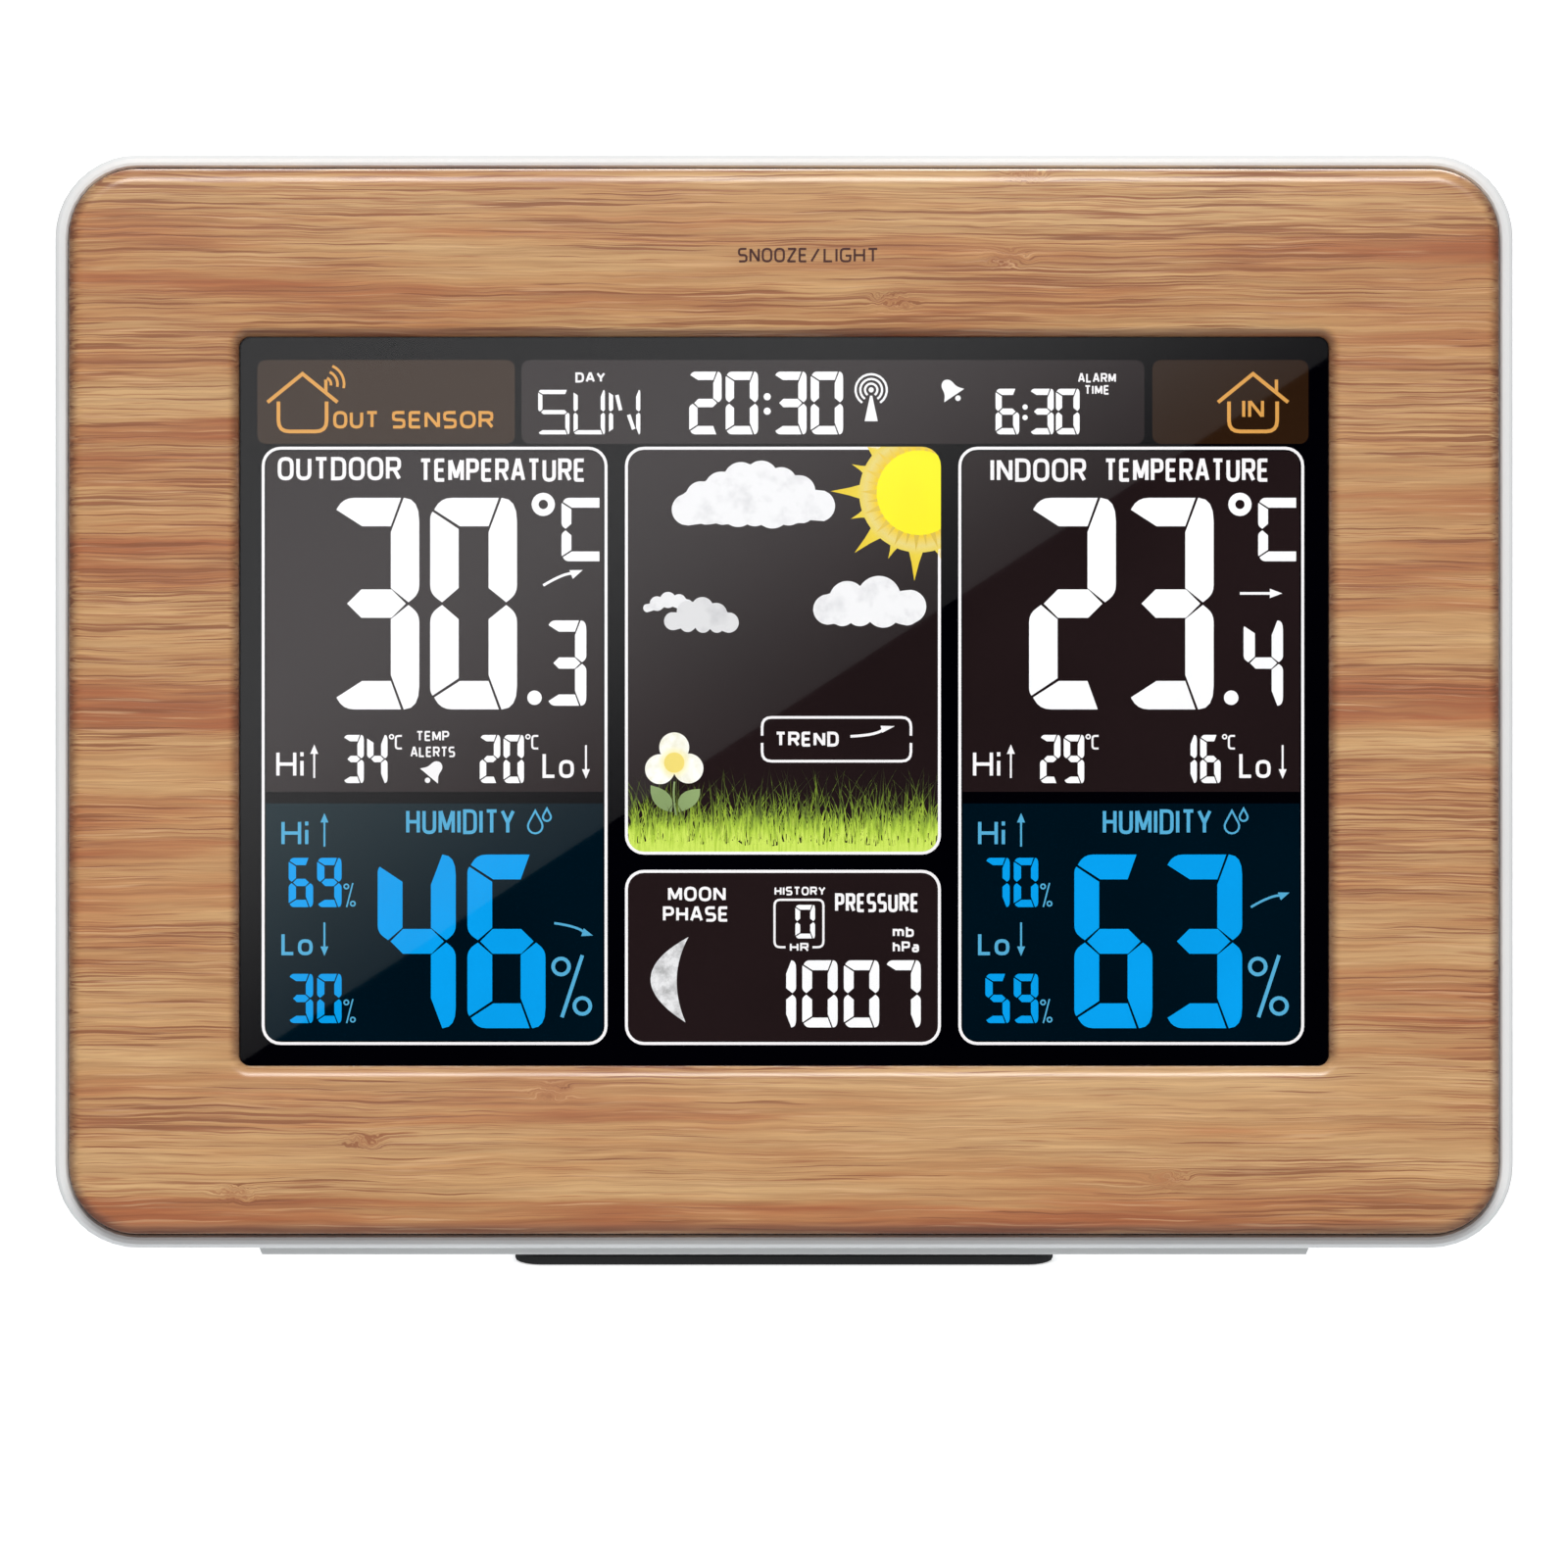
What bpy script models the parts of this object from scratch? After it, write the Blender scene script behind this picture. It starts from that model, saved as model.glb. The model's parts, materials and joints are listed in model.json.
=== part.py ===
"""Home weather station: a colour display behind a bamboo frame, in a white case with a fold-out stand.

Lengths are in metres. The station is modelled upright, in the case's own frame: X to the right, Y from the
display to the back and Z up along the display, with Y = 0 at the frame's face and Z = 0 at the case's
bottom. The empty "lean" then tips it back onto the desk, so that the base foot rests on Z = 0 around the origin.
"""

import math

import bmesh
import bpy
from mathutils import Matrix, Vector

MM = 0.001

# Case and frame, in front view.
CASE_WIDTH = 200 * MM
CASE_HEIGHT = 150 * MM
CASE_RADIUS = 11.4 * MM
WALL = 1.8 * MM
GAP = 0.3 * MM  # between pieces that touch
PAST = 2 * MM  # how far a cutter reaches past the face that it opens
INTO = 0.7 * MM  # how far a post reaches into the wall that it stands on
MIDDLE = CASE_HEIGHT / 2  # height of the display's centre
WINDOW = (149.1 * MM, 99.8 * MM)
WINDOW_RADIUS = 1.5 * MM

# Depths, from the frame's face to the back.
FRAME_BACK = 8.0 * MM
CASE_FRONT = 4.6 * MM
CASE_INSIDE = 18.0 * MM  # inner face of the back wall
CASE_BACK = 20.0 * MM
HUMP_INSIDE = 19.9 * MM
HUMP_BACK = 25.4 * MM
LENS_FRONT = 2.2 * MM
LENS_THICK = 1.8 * MM
REBATE = 1.9 * MM  # depth at which the frame steps back to take the lens
LCD_FRONT = 4.3 * MM
LCD_BACK = 6.9 * MM
CARRIER_FRONT = 7.3 * MM
CARRIER_BACK = 10.6 * MM
BOARD_FRONT = 12.5 * MM
BOARD_BACK = 14.1 * MM
ON_BOARD = BOARD_BACK + GAP  # where the board's components start

# The hump on the back, which holds the battery bay and takes the folded stand.
HUMP = (90 * MM, 74 * MM)
HUMP_BOTTOM = 2 * MM
HUMP_MIDDLE = HUMP_BOTTOM + HUMP[1] / 2
BAY_MIDDLE = 32.9 * MM
BAY = (54.4 * MM, 38.0 * MM)
BAY_WALL = 1.4 * MM
BAY_FLOOR = 12.3 * MM
DOOR = (56.8 * MM, 39.8 * MM)
DOOR_THICK = 1.6 * MM
DOOR_BACK = HUMP_BACK - GAP

# AAA cells.
CELL_RADIUS = 5.25 * MM
CELL_LENGTH = 44.5 * MM
CELL_PITCH = 12 * MM
CELL_DEPTH = BAY_FLOOR + GAP + CELL_RADIUS

# How the station stands: its lean, the stand's opening, and the point that rests on the desk.
LEAN = math.radians(12)
STAND_OPEN = math.radians(22)
STAND_HINGE = Vector((0, 23.3 * MM, 66 * MM))
STAND_THICK = 3.6 * MM
STAND_OUTER = 80 * MM
STAND_ARM = 8 * MM
STAND_BAR = 9.6 * MM  # height of the bar that joins the arms
STAND_CORNER = 3 * MM  # radius where an arm's inner edge meets the bar
PIN_RADIUS = 1.0 * MM
PIN_HOLE = 1.25 * MM
PIN_REACH = 2.1 * MM  # how far each pin stands out of its arm, on either side
SOLE_THICK = 1.5 * MM
FOOT_THICK = 1.2 * MM
BASE_FOOT = (74 * MM, 9 * MM)
PLINTH_WIDTH = 144 * MM
PLINTH_FRONT = 6.8 * MM
PLINTH_DROP = 0.95 * MM  # how far the plinth's front edge reaches below the case
DESK_DEPTH = 11.5 * MM  # depth of the base foot's middle

# Keys on the back, in one column, and the sockets and openings beside it.
KEYS = ("memory", "channel", "alert", "down", "up", "mode")
KEY_SIDE = -56 * MM
KEY_LOWEST = 64 * MM
KEY_PITCH = 10.5 * MM
KEY_CAP = (10 * MM, 4.8 * MM)
KEY_PROUD = 0.8 * MM
JACK = (60 * MM, 66 * MM)
VENT = (60 * MM, 100 * MM)
BUZZER = (34 * MM, 100 * MM)
LABEL = (-10 * MM, 98 * MM)
LABEL_SIZE = (46 * MM, 26 * MM)
HANG_HOLE = (45 * MM, 131 * MM)
HANG_HEAD = 4.0 * MM
HANG_NECK = 2.2 * MM
HANG_RISE = 8 * MM
CASE_SCREW = (88 * MM, 14 * MM)  # from the middle line and from the top and bottom edges
BOARD = (144 * MM, 70 * MM)
BOARD_MIDDLE = 91 * MM
BOARD_SCREW = (69 * MM, 31 * MM)  # from the board's middle
CASE_BOSS = 3.6 * MM
CASE_SCREW_SHAFT = 1.3 * MM
CASE_SCREW_HEAD = 2.8 * MM
CASE_SCREW_SEAT = 15.2 * MM  # depth of the counterbore's floor
CASE_SCREW_TIP = 4.0 * MM
BOARD_BOSS = 2.6 * MM
BOARD_SCREW_SHAFT = 0.9 * MM
BOARD_SCREW_HEAD = 2.2 * MM

FINISHES = {
    # name: (colour, roughness, metallic)
    "bamboo": ((0.62, 0.36, 0.18), 0.4, 0),
    "white_abs": ((0.72, 0.72, 0.71), 0.45, 0),
    "lens": ((0.05, 0.05, 0.055), 0.05, 0),
    "lcd_glass": ((0.03, 0.02, 0.02), 0.1, 0),
    "black_abs": ((0.02, 0.02, 0.02), 0.5, 0),
    "light_guide": ((0.85, 0.88, 0.9), 0.1, 0),
    "white_film": ((0.9, 0.9, 0.9), 0.6, 0),
    "board": ((0.02, 0.16, 0.07), 0.45, 0),
    "elastomer": ((0.55, 0.55, 0.6), 0.7, 0),
    "chip": ((0.015, 0.015, 0.017), 0.5, 0),
    "steel": ((0.6, 0.6, 0.6), 0.3, 1),
    "brass": ((0.75, 0.55, 0.25), 0.3, 1),
    "ferrite": ((0.05, 0.045, 0.045), 0.6, 0),
    "copper": ((0.7, 0.3, 0.15), 0.35, 1),
    "cell_wrap": ((0.1, 0.25, 0.12), 0.35, 0),
    "rubber": ((0.03, 0.03, 0.03), 0.85, 0),
    "grey_key": ((0.35, 0.36, 0.37), 0.5, 0),
    "label": ((0.75, 0.76, 0.77), 0.5, 0),
    "red_pvc": ((0.5, 0.02, 0.02), 0.5, 0),
    "black_pvc": ((0.02, 0.02, 0.02), 0.5, 0),
}


# ---- modelling helpers ---------------------------------------------------------------------------


def clear_scene():
    for obj in list(bpy.data.objects):
        bpy.data.objects.remove(obj)


def new_collection(name):
    collection = bpy.data.collections.new(name)
    bpy.context.scene.collection.children.link(collection)
    return collection


def finish(name):
    """The material of that name, made on first use."""
    material = bpy.data.materials.get(name)
    if material is None:
        colour, roughness, metallic = FINISHES[name]
        material = bpy.data.materials.new(name)
        material.use_nodes = True
        shader = material.node_tree.nodes["Principled BSDF"]
        shader.inputs["Base Color"].default_value = (*colour, 1)
        shader.inputs["Roughness"].default_value = roughness
        shader.inputs["Metallic"].default_value = metallic
    return material


def mesh_object(name, mesh):
    """A part from that mesh, in the station's collection and leaning with it."""
    obj = bpy.data.objects.new(name, mesh)
    STATION.objects.link(obj)
    obj.parent = bpy.data.objects["lean"]
    return obj


def object_from(name, bm):
    bmesh.ops.recalc_face_normals(bm, faces=bm.faces)
    mesh = bpy.data.meshes.new(name)
    bm.to_mesh(mesh)
    bm.free()
    return mesh_object(name, mesh)


def clad(obj, material):
    """Gives the part its material and smooth round faces."""
    obj.data.materials.append(finish(material))
    obj.data.shade_smooth()
    obj.data.set_sharp_from_angle(angle=math.radians(35))
    return obj


def box(name, low, high):
    low = Vector(low)
    high = Vector(high)
    bm = bmesh.new()
    bmesh.ops.create_cube(bm, size=1)
    bmesh.ops.scale(bm, vec=high - low, verts=bm.verts)
    bmesh.ops.translate(bm, vec=(low + high) / 2, verts=bm.verts)
    return object_from(name, bm)


def rod(name, start, end, radius, segments=16, end_radius=None):
    """A round rod, or a cone, between two points."""
    start = Vector(start)
    end = Vector(end)
    along = end - start
    bm = bmesh.new()
    bmesh.ops.create_cone(
        bm,
        cap_ends=True,
        segments=segments,
        radius1=radius,
        radius2=radius if end_radius is None else end_radius,
        depth=along.length,
    )
    turn = along.to_track_quat("Z", "Y").to_matrix().to_4x4()
    bmesh.ops.transform(bm, matrix=Matrix.Translation((start + end) / 2) @ turn, verts=bm.verts)
    return object_from(name, bm)


def rounded_rectangle(width, height, radius, centre=(0, MIDDLE), steps=10):
    """Points (x, z) of an upright rectangle with round corners, in order."""
    points = []
    for corner, (side, rise) in enumerate(((1, 1), (-1, 1), (-1, -1), (1, -1))):
        x = centre[0] + side * (width / 2 - radius)
        z = centre[1] + rise * (height / 2 - radius)
        for step in range(steps + 1):
            angle = math.pi / 2 * (corner + step / steps)
            points.append((x + radius * math.cos(angle), z + radius * math.sin(angle)))
    return points


def slab(name, outline, front, back):
    """A flat outline of (x, z) points, as thick as the depths from front to back."""
    curve = bpy.data.curves.new(name, "CURVE")
    curve.dimensions = "2D"
    curve.fill_mode = "BOTH"
    curve.extrude = (back - front) / 2
    spline = curve.splines.new("POLY")
    spline.points.add(len(outline) - 1)
    for point, (x, z) in zip(spline.points, outline):
        point.co = (x, z, 0, 1)
    spline.use_cyclic_u = True
    guide = bpy.data.objects.new(name + "_outline", curve)
    bpy.context.scene.collection.objects.link(guide)
    graph = bpy.context.evaluated_depsgraph_get()
    mesh = bpy.data.meshes.new_from_object(guide.evaluated_get(graph))
    bpy.data.objects.remove(guide)
    bm = bmesh.new()
    bm.from_mesh(mesh)
    bpy.data.meshes.remove(mesh)
    bmesh.ops.remove_doubles(bm, verts=bm.verts, dist=1e-6)
    bmesh.ops.dissolve_limit(bm, angle_limit=math.radians(0.5), verts=bm.verts, edges=bm.edges)
    stand_up = Matrix.Translation((0, (front + back) / 2, 0)) @ Matrix.Rotation(math.pi / 2, 4, "X")
    bmesh.ops.transform(bm, matrix=stand_up, verts=bm.verts)
    return object_from(name, bm)


def loft(name, sections, ring=False, **shape):
    """A skin through rounded rectangles, each (width, height, radius, depth).

    A ring closes on its first section, and anything else is capped at both ends.
    """
    bm = bmesh.new()
    loops = []
    for width, height, radius, depth in sections:
        outline = rounded_rectangle(width, height, radius, **shape)
        loops.append([bm.verts.new((x, depth, z)) for x, z in outline])
    pairs = list(zip(loops, loops[1:]))
    if ring:
        pairs.append((loops[-1], loops[0]))
    else:
        bm.faces.new(loops[0])
        bm.faces.new(loops[-1])
    for near, far in pairs:
        for i in range(len(near)):
            j = (i + 1) % len(near)
            bm.faces.new((near[i], near[j], far[j], far[i]))
    return object_from(name, bm)


def fillet(width, height, radius, depth, size, turn, steps=4):
    """Sections round an outer edge of that size.

    Turn 1 goes from the side wall to the back, and -1 from the face to the side wall.
    """
    sections = []
    for step in range(steps + 1):
        angle = math.pi / 2 * step / steps
        if turn < 0:
            angle = math.pi / 2 - angle
        inset = size * (1 - math.cos(angle))
        reach = depth - turn * size * (1 - math.sin(angle))
        sections.append((width - 2 * inset, height - 2 * inset, radius - inset, reach))
    return sections


def tube(name, points, radius, material, bevel_resolution=2):
    """A wire through those points."""
    curve = bpy.data.curves.new(name, "CURVE")
    curve.dimensions = "3D"
    curve.bevel_depth = radius
    curve.bevel_resolution = bevel_resolution
    curve.use_fill_caps = True
    spline = curve.splines.new("POLY")
    spline.points.add(len(points) - 1)
    for point, place in zip(spline.points, points):
        point.co = (*place, 1)
    obj = bpy.data.objects.new(name, curve)
    STATION.objects.link(obj)
    obj.parent = bpy.data.objects["lean"]
    curve.materials.append(finish(material))
    return obj


def turned(name, profile, material, steps=20):
    """A body turned about its own Z axis from (radius, height) points, from the top down."""
    mesh = bpy.data.meshes.new(name)
    vertices = [(radius, 0, height) for radius, height in profile]
    mesh.from_pydata(vertices, [(i, i + 1) for i in range(len(profile) - 1)], [])
    mesh.materials.append(finish(material))
    obj = mesh_object(name, mesh)
    screw = obj.modifiers.new("turn", "SCREW")
    screw.axis = "Z"
    screw.steps = steps
    screw.render_steps = steps
    screw.use_merge_vertices = True
    screw.merge_threshold = 1e-6
    screw.use_smooth_shade = True
    return obj


def combine(target, operation, tools):
    """Adds one Boolean for each tool, and puts the tool away as a helper."""
    for tool in tools:
        modifier = target.modifiers.new(tool.name, "BOOLEAN")
        modifier.operation = operation
        modifier.solver = "EXACT"
        modifier.object = tool
        STATION.objects.unlink(tool)
        CUTTERS.objects.link(tool)
        tool.hide_render = True
        tool.display_type = "WIRE"
    return target


def add(target, *tools):
    return combine(target, "UNION", tools)


def cut(target, *tools):
    return combine(target, "DIFFERENCE", tools)


def corners(across, up, middle=MIDDLE):
    """The four points at that distance to each side of the middle."""
    return [(side * across, middle + rise * up) for rise in (-1, 1) for side in (-1, 1)]


# ---- where the desk is ---------------------------------------------------------------------------


def plinth_bottom():
    """Height, over the desk, of the flat that the base foot is fixed to."""
    return FOOT_THICK + GAP


def desk_point():
    """The upright frame's point that comes to rest on the desk, at the world's origin."""
    ahead = (DESK_DEPTH - PLINTH_FRONT) * math.sin(LEAN)
    below = (plinth_bottom() - ahead) / math.cos(LEAN)
    return Vector((0, DESK_DEPTH, -PLINTH_DROP - below))


def make_lean():
    """The empty that tips everything parented to it back onto the desk."""
    turn = Matrix.Rotation(-LEAN, 4, "X")
    lean = bpy.data.objects.new("lean", None)
    bpy.context.scene.collection.objects.link(lean)
    lean.location = turn @ -desk_point()
    lean.rotation_euler.x = -LEAN


def under_the_desk_line(name, height, width, depth=30 * MM, middle=DESK_DEPTH):
    """A cutter for all that is lower than that height over the desk, in the upright frame."""
    below = 12 * MM
    cutter = box(name, (-width / 2, -depth / 2, -below), (width / 2, depth / 2, 0))
    desk = desk_point()
    rise = (middle - desk.y) * math.tan(LEAN)
    cutter.location = (0, middle, desk.z + rise + height / math.cos(LEAN))
    cutter.rotation_euler.x = LEAN
    return cutter


# ---- case ----------------------------------------------------------------------------------------


def case_shell():
    """The tray: inner floor and walls, the lip round the frame, the outer walls and the back."""
    inner = (CASE_WIDTH - 2 * WALL, CASE_HEIGHT - 2 * WALL, CASE_RADIUS - WALL)
    lip = 0.3 * MM
    front_round = 1.1 * MM
    back_round = 3.6 * MM
    outer = (CASE_WIDTH, CASE_HEIGHT, CASE_RADIUS)
    sections = [(*inner, CASE_INSIDE), (*inner, CASE_FRONT + lip)]
    sections.append((inner[0] + 2 * lip, inner[1] + 2 * lip, inner[2] + lip, CASE_FRONT))
    sections += fillet(*outer, CASE_FRONT, front_round, turn=-1, steps=3)
    sections += fillet(*outer, CASE_BACK, back_round, turn=1)
    return loft("rear_case", sections)


def hump_block():
    sections = [(*HUMP, 8 * MM, CASE_INSIDE - 0.5 * MM)]
    sections += fillet(*HUMP, 8 * MM, HUMP_BACK, 2.4 * MM, turn=1, steps=3)
    return loft("hump", sections, centre=(0, HUMP_MIDDLE), steps=6)


def stand_pocket():
    """The U-shaped pocket that takes the folded stand, open at the bottom."""
    clear = 0.35 * MM
    outer = STAND_OUTER / 2 + clear
    inner = STAND_OUTER / 2 - STAND_ARM - clear
    top = STAND_HINGE.z + STAND_THICK / 2 + clear
    bar_top = STAND_HINGE.z - stand_length() + STAND_BAR + clear
    below = -5 * MM  # well under the case, so that the pocket is open at the bottom
    island = rounded_rectangle(2 * inner, 2 * (top - bar_top), STAND_CORNER, centre=(0, top), steps=4)
    island = [(x, z) for x, z in island if z < top]
    outline = [(-outer, below), (outer, below), (outer, top), (inner, top)]
    outline += island[::-1] + [(-inner, top), (-outer, top)]
    floor = STAND_HINGE.y - STAND_THICK / 2 - GAP
    return slab("stand_pocket", outline, floor, HUMP_BACK + PAST)


def battery_bay():
    outer = (BAY[0] / 2 + BAY_WALL, BAY[1] / 2 + BAY_WALL)
    floor = BAY_FLOOR - BAY_WALL
    low = (-outer[0], floor, BAY_MIDDLE - outer[1])
    high = (outer[0], HUMP_BACK - 4 * MM, BAY_MIDDLE + outer[1])
    return box("bay_walls", low, high)


def battery_bay_cutters():
    half = (BAY[0] / 2, BAY[1] / 2)
    past = HUMP_BACK + PAST
    hollow = box(
        "bay_hollow", (-half[0], BAY_FLOOR, BAY_MIDDLE - half[1]), (half[0], past, BAY_MIDDLE + half[1])
    )
    rebate = (DOOR[0] + 2 * GAP, DOOR[1] + 2 * GAP)
    outline = rounded_rectangle(*rebate, 1.5 * MM, centre=(0, BAY_MIDDLE), steps=3)
    ledge = slab("door_rebate", outline, DOOR_BACK - DOOR_THICK - GAP, past)
    return hollow, ledge


def bay_ribs():
    """Two low ribs that keep the cells apart."""
    half = 0.4 * MM
    ribs = []
    for side in (-1, 1):
        middle = BAY_MIDDLE + side * CELL_PITCH / 2
        low = (-12 * MM, BAY_FLOOR - 0.5 * MM, middle - half)
        high = (12 * MM, BAY_FLOOR + 2.2 * MM, middle + half)
        ribs.append(box(f"bay_rib_{side}", low, high))
    return ribs


def hang_hole(side):
    """A keyhole: the round mouth that the screw's head enters, and the neck that it hangs in."""
    x = side * HANG_HOLE[0]
    z = HANG_HOLE[1]
    front = CASE_INSIDE - PAST
    back = CASE_BACK + PAST
    mouth = rod(f"hang_mouth_{side}", (x, front, z), (x, back, z), HANG_HEAD, 20)
    outline = rounded_rectangle(
        2 * HANG_NECK,
        HANG_RISE + 2 * HANG_NECK,
        HANG_NECK - 0.01 * MM,
        centre=(x, z + HANG_RISE / 2),
        steps=5,
    )
    neck = slab(f"hang_neck_{side}", outline, front, back)
    return mouth, neck


def back_openings():
    """Cutters for the keys, the power jack, the vents, the buzzer and the label."""
    front = CASE_INSIDE - PAST
    back = CASE_BACK + PAST
    tools = []
    for name, z in key_places():
        hole = (KEY_CAP[0] + 2 * GAP, KEY_CAP[1] + 2 * GAP)
        outline = rounded_rectangle(*hole, hole[1] / 2 - 0.01 * MM, centre=(KEY_SIDE, z), steps=4)
        tools.append(slab(f"key_hole_{name}", outline, front, back))
    tools.append(rod("jack_hole", (JACK[0], front, JACK[1]), (JACK[0], back, JACK[1]), 3.6 * MM, 20))
    for row in range(-2, 3):
        z = VENT[1] + row * 4 * MM
        low = (VENT[0] - 8 * MM, front, z - 0.8 * MM)
        tools.append(box(f"vent_{row}", low, (VENT[0] + 8 * MM, back, z + 0.8 * MM)))
    for hole in range(7):
        angle = math.pi / 3 * hole
        ring = 4 * MM if hole else 0
        x = BUZZER[0] + ring * math.cos(angle)
        z = BUZZER[1] + ring * math.sin(angle)
        tools.append(rod(f"buzzer_hole_{hole}", (x, front, z), (x, back, z), 0.9 * MM, 10))
    outline = rounded_rectangle(
        LABEL_SIZE[0] + 2 * GAP, LABEL_SIZE[1] + 2 * GAP, 1.5 * MM, centre=LABEL, steps=3
    )
    tools.append(slab("label_recess", outline, CASE_BACK - 0.5 * MM, back))
    return tools


def bosses():
    """Posts for the case screws and the board screws, and the cradle for the ferrite rod."""
    posts = []
    for i, (x, z) in enumerate(corners(CASE_SCREW[0], MIDDLE - CASE_SCREW[1])):
        start = (x, FRAME_BACK + 0.4 * MM, z)
        posts.append(rod(f"case_boss_{i}", start, (x, CASE_INSIDE + INTO, z), CASE_BOSS))
    for i, (x, z) in enumerate(corners(*BOARD_SCREW, BOARD_MIDDLE)):
        end = (x, CASE_INSIDE + INTO, z)
        posts.append(rod(f"board_boss_{i}", (x, ON_BOARD, z), end, BOARD_BOSS, 12))
    for i, x in enumerate((50 * MM, 79 * MM)):
        low = (x - MM, 16.5 * MM, 9.5 * MM)
        posts.append(box(f"rod_cradle_{i}", low, (x + MM, CASE_INSIDE + INTO, 17.5 * MM)))
    return posts


def boss_holes():
    tools = []
    for i, (x, z) in enumerate(corners(CASE_SCREW[0], MIDDLE - CASE_SCREW[1])):
        past = CASE_BACK + PAST
        start = (x, FRAME_BACK - PAST, z)
        seat = (x, CASE_SCREW_SEAT, z)
        tools.append(rod(f"case_screw_hole_{i}", start, (x, past, z), CASE_SCREW_SHAFT + 0.4 * MM, 12))
        tools.append(rod(f"counterbore_{i}", seat, (x, past, z), CASE_SCREW_HEAD + GAP))
    for i, (x, z) in enumerate(corners(*BOARD_SCREW, BOARD_MIDDLE)):
        start = (x, ON_BOARD - MM, z)
        end = (x, CASE_INSIDE - GAP, z)
        tools.append(rod(f"board_screw_hole_{i}", start, end, BOARD_SCREW_SHAFT + GAP, 8))
    return tools


def hinge_holes():
    """The bores for the stand's two pins, on either side of each arm's pocket."""
    tools = []
    for side in (-1, 1):
        inner = side * (STAND_OUTER / 2 - STAND_ARM - PIN_REACH - GAP)
        outer = side * (STAND_OUTER / 2 + PIN_REACH + GAP)
        start = STAND_HINGE + Vector((inner, 0, 0))
        end = STAND_HINGE + Vector((outer, 0, 0))
        tools.append(rod(f"hinge_hole_{side}", start, end, PIN_HOLE, 12))
    return tools


def plinth():
    """The low wide foot under the case, with sloping ends."""
    half = PLINTH_WIDTH / 2
    slope = 1.6 * MM
    deep = -4 * MM
    top = 1.2 * MM
    outline = [(-half, top), (-half, -0.2 * MM), (-half + slope, deep)]
    outline += [(half - slope, deep), (half, -0.2 * MM), (half, top)]
    return slab("plinth", outline, PLINTH_FRONT, 15 * MM)


def make_rear_case():
    case = case_shell()
    add(case, hump_block(), plinth())
    hollow = rounded_rectangle(86 * MM, 70 * MM, 6 * MM, centre=(0, HUMP_MIDDLE), steps=4)
    cut(case, slab("hump_hollow", hollow, 15 * MM, HUMP_INSIDE))
    add(case, battery_bay())
    cut(case, *battery_bay_cutters())
    add(case, *bay_ribs(), *bosses())
    cut(case, *boss_holes(), stand_pocket(), *hinge_holes(), *back_openings())
    for side in (-1, 1):
        cut(case, *hang_hole(side))
    cut(case, under_the_desk_line("base_land", plinth_bottom(), PLINTH_WIDTH + 20 * MM, 16 * MM))
    clad(case, "white_abs")


# ---- front ---------------------------------------------------------------------------------------


def make_front_frame():
    """The bamboo frame: a ring with round outer and inner front edges and a rebate for the lens behind."""
    outer = (CASE_WIDTH - 2 * (WALL + GAP), CASE_HEIGHT - 2 * (WALL + GAP), CASE_RADIUS - WALL - GAP)
    edge = 2.2 * MM
    inner_edge = 1.7 * MM
    step = 2.3 * MM  # how much wider the rebate is than the window, on each side
    sections = fillet(*outer, 0, edge, turn=-1)
    sections.append((*outer, FRAME_BACK))
    wide = (WINDOW[0] + 2 * step, WINDOW[1] + 2 * step, 1.2 * MM)
    sections += [(*wide, FRAME_BACK), (*wide, REBATE)]
    sections.append((*WINDOW, WINDOW_RADIUS, REBATE))
    for i in range(4 + 1):
        angle = math.pi / 2 * i / 4
        grow = inner_edge * (1 - math.cos(angle))
        depth = inner_edge * (1 - math.sin(angle))
        sections.append((WINDOW[0] + 2 * grow, WINDOW[1] + 2 * grow, WINDOW_RADIUS + grow, depth))
    frame = loft("front_frame", sections, ring=True)
    for i, (x, z) in enumerate(corners(CASE_SCREW[0], MIDDLE - CASE_SCREW[1])):
        tip = (x, CASE_SCREW_TIP - 2 * GAP, z)
        pilot = rod(f"frame_pilot_{i}", tip, (x, FRAME_BACK + PAST, z), CASE_SCREW_SHAFT + 0.35 * MM, 10)
        cut(frame, pilot)
    clad(frame, "bamboo")


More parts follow.
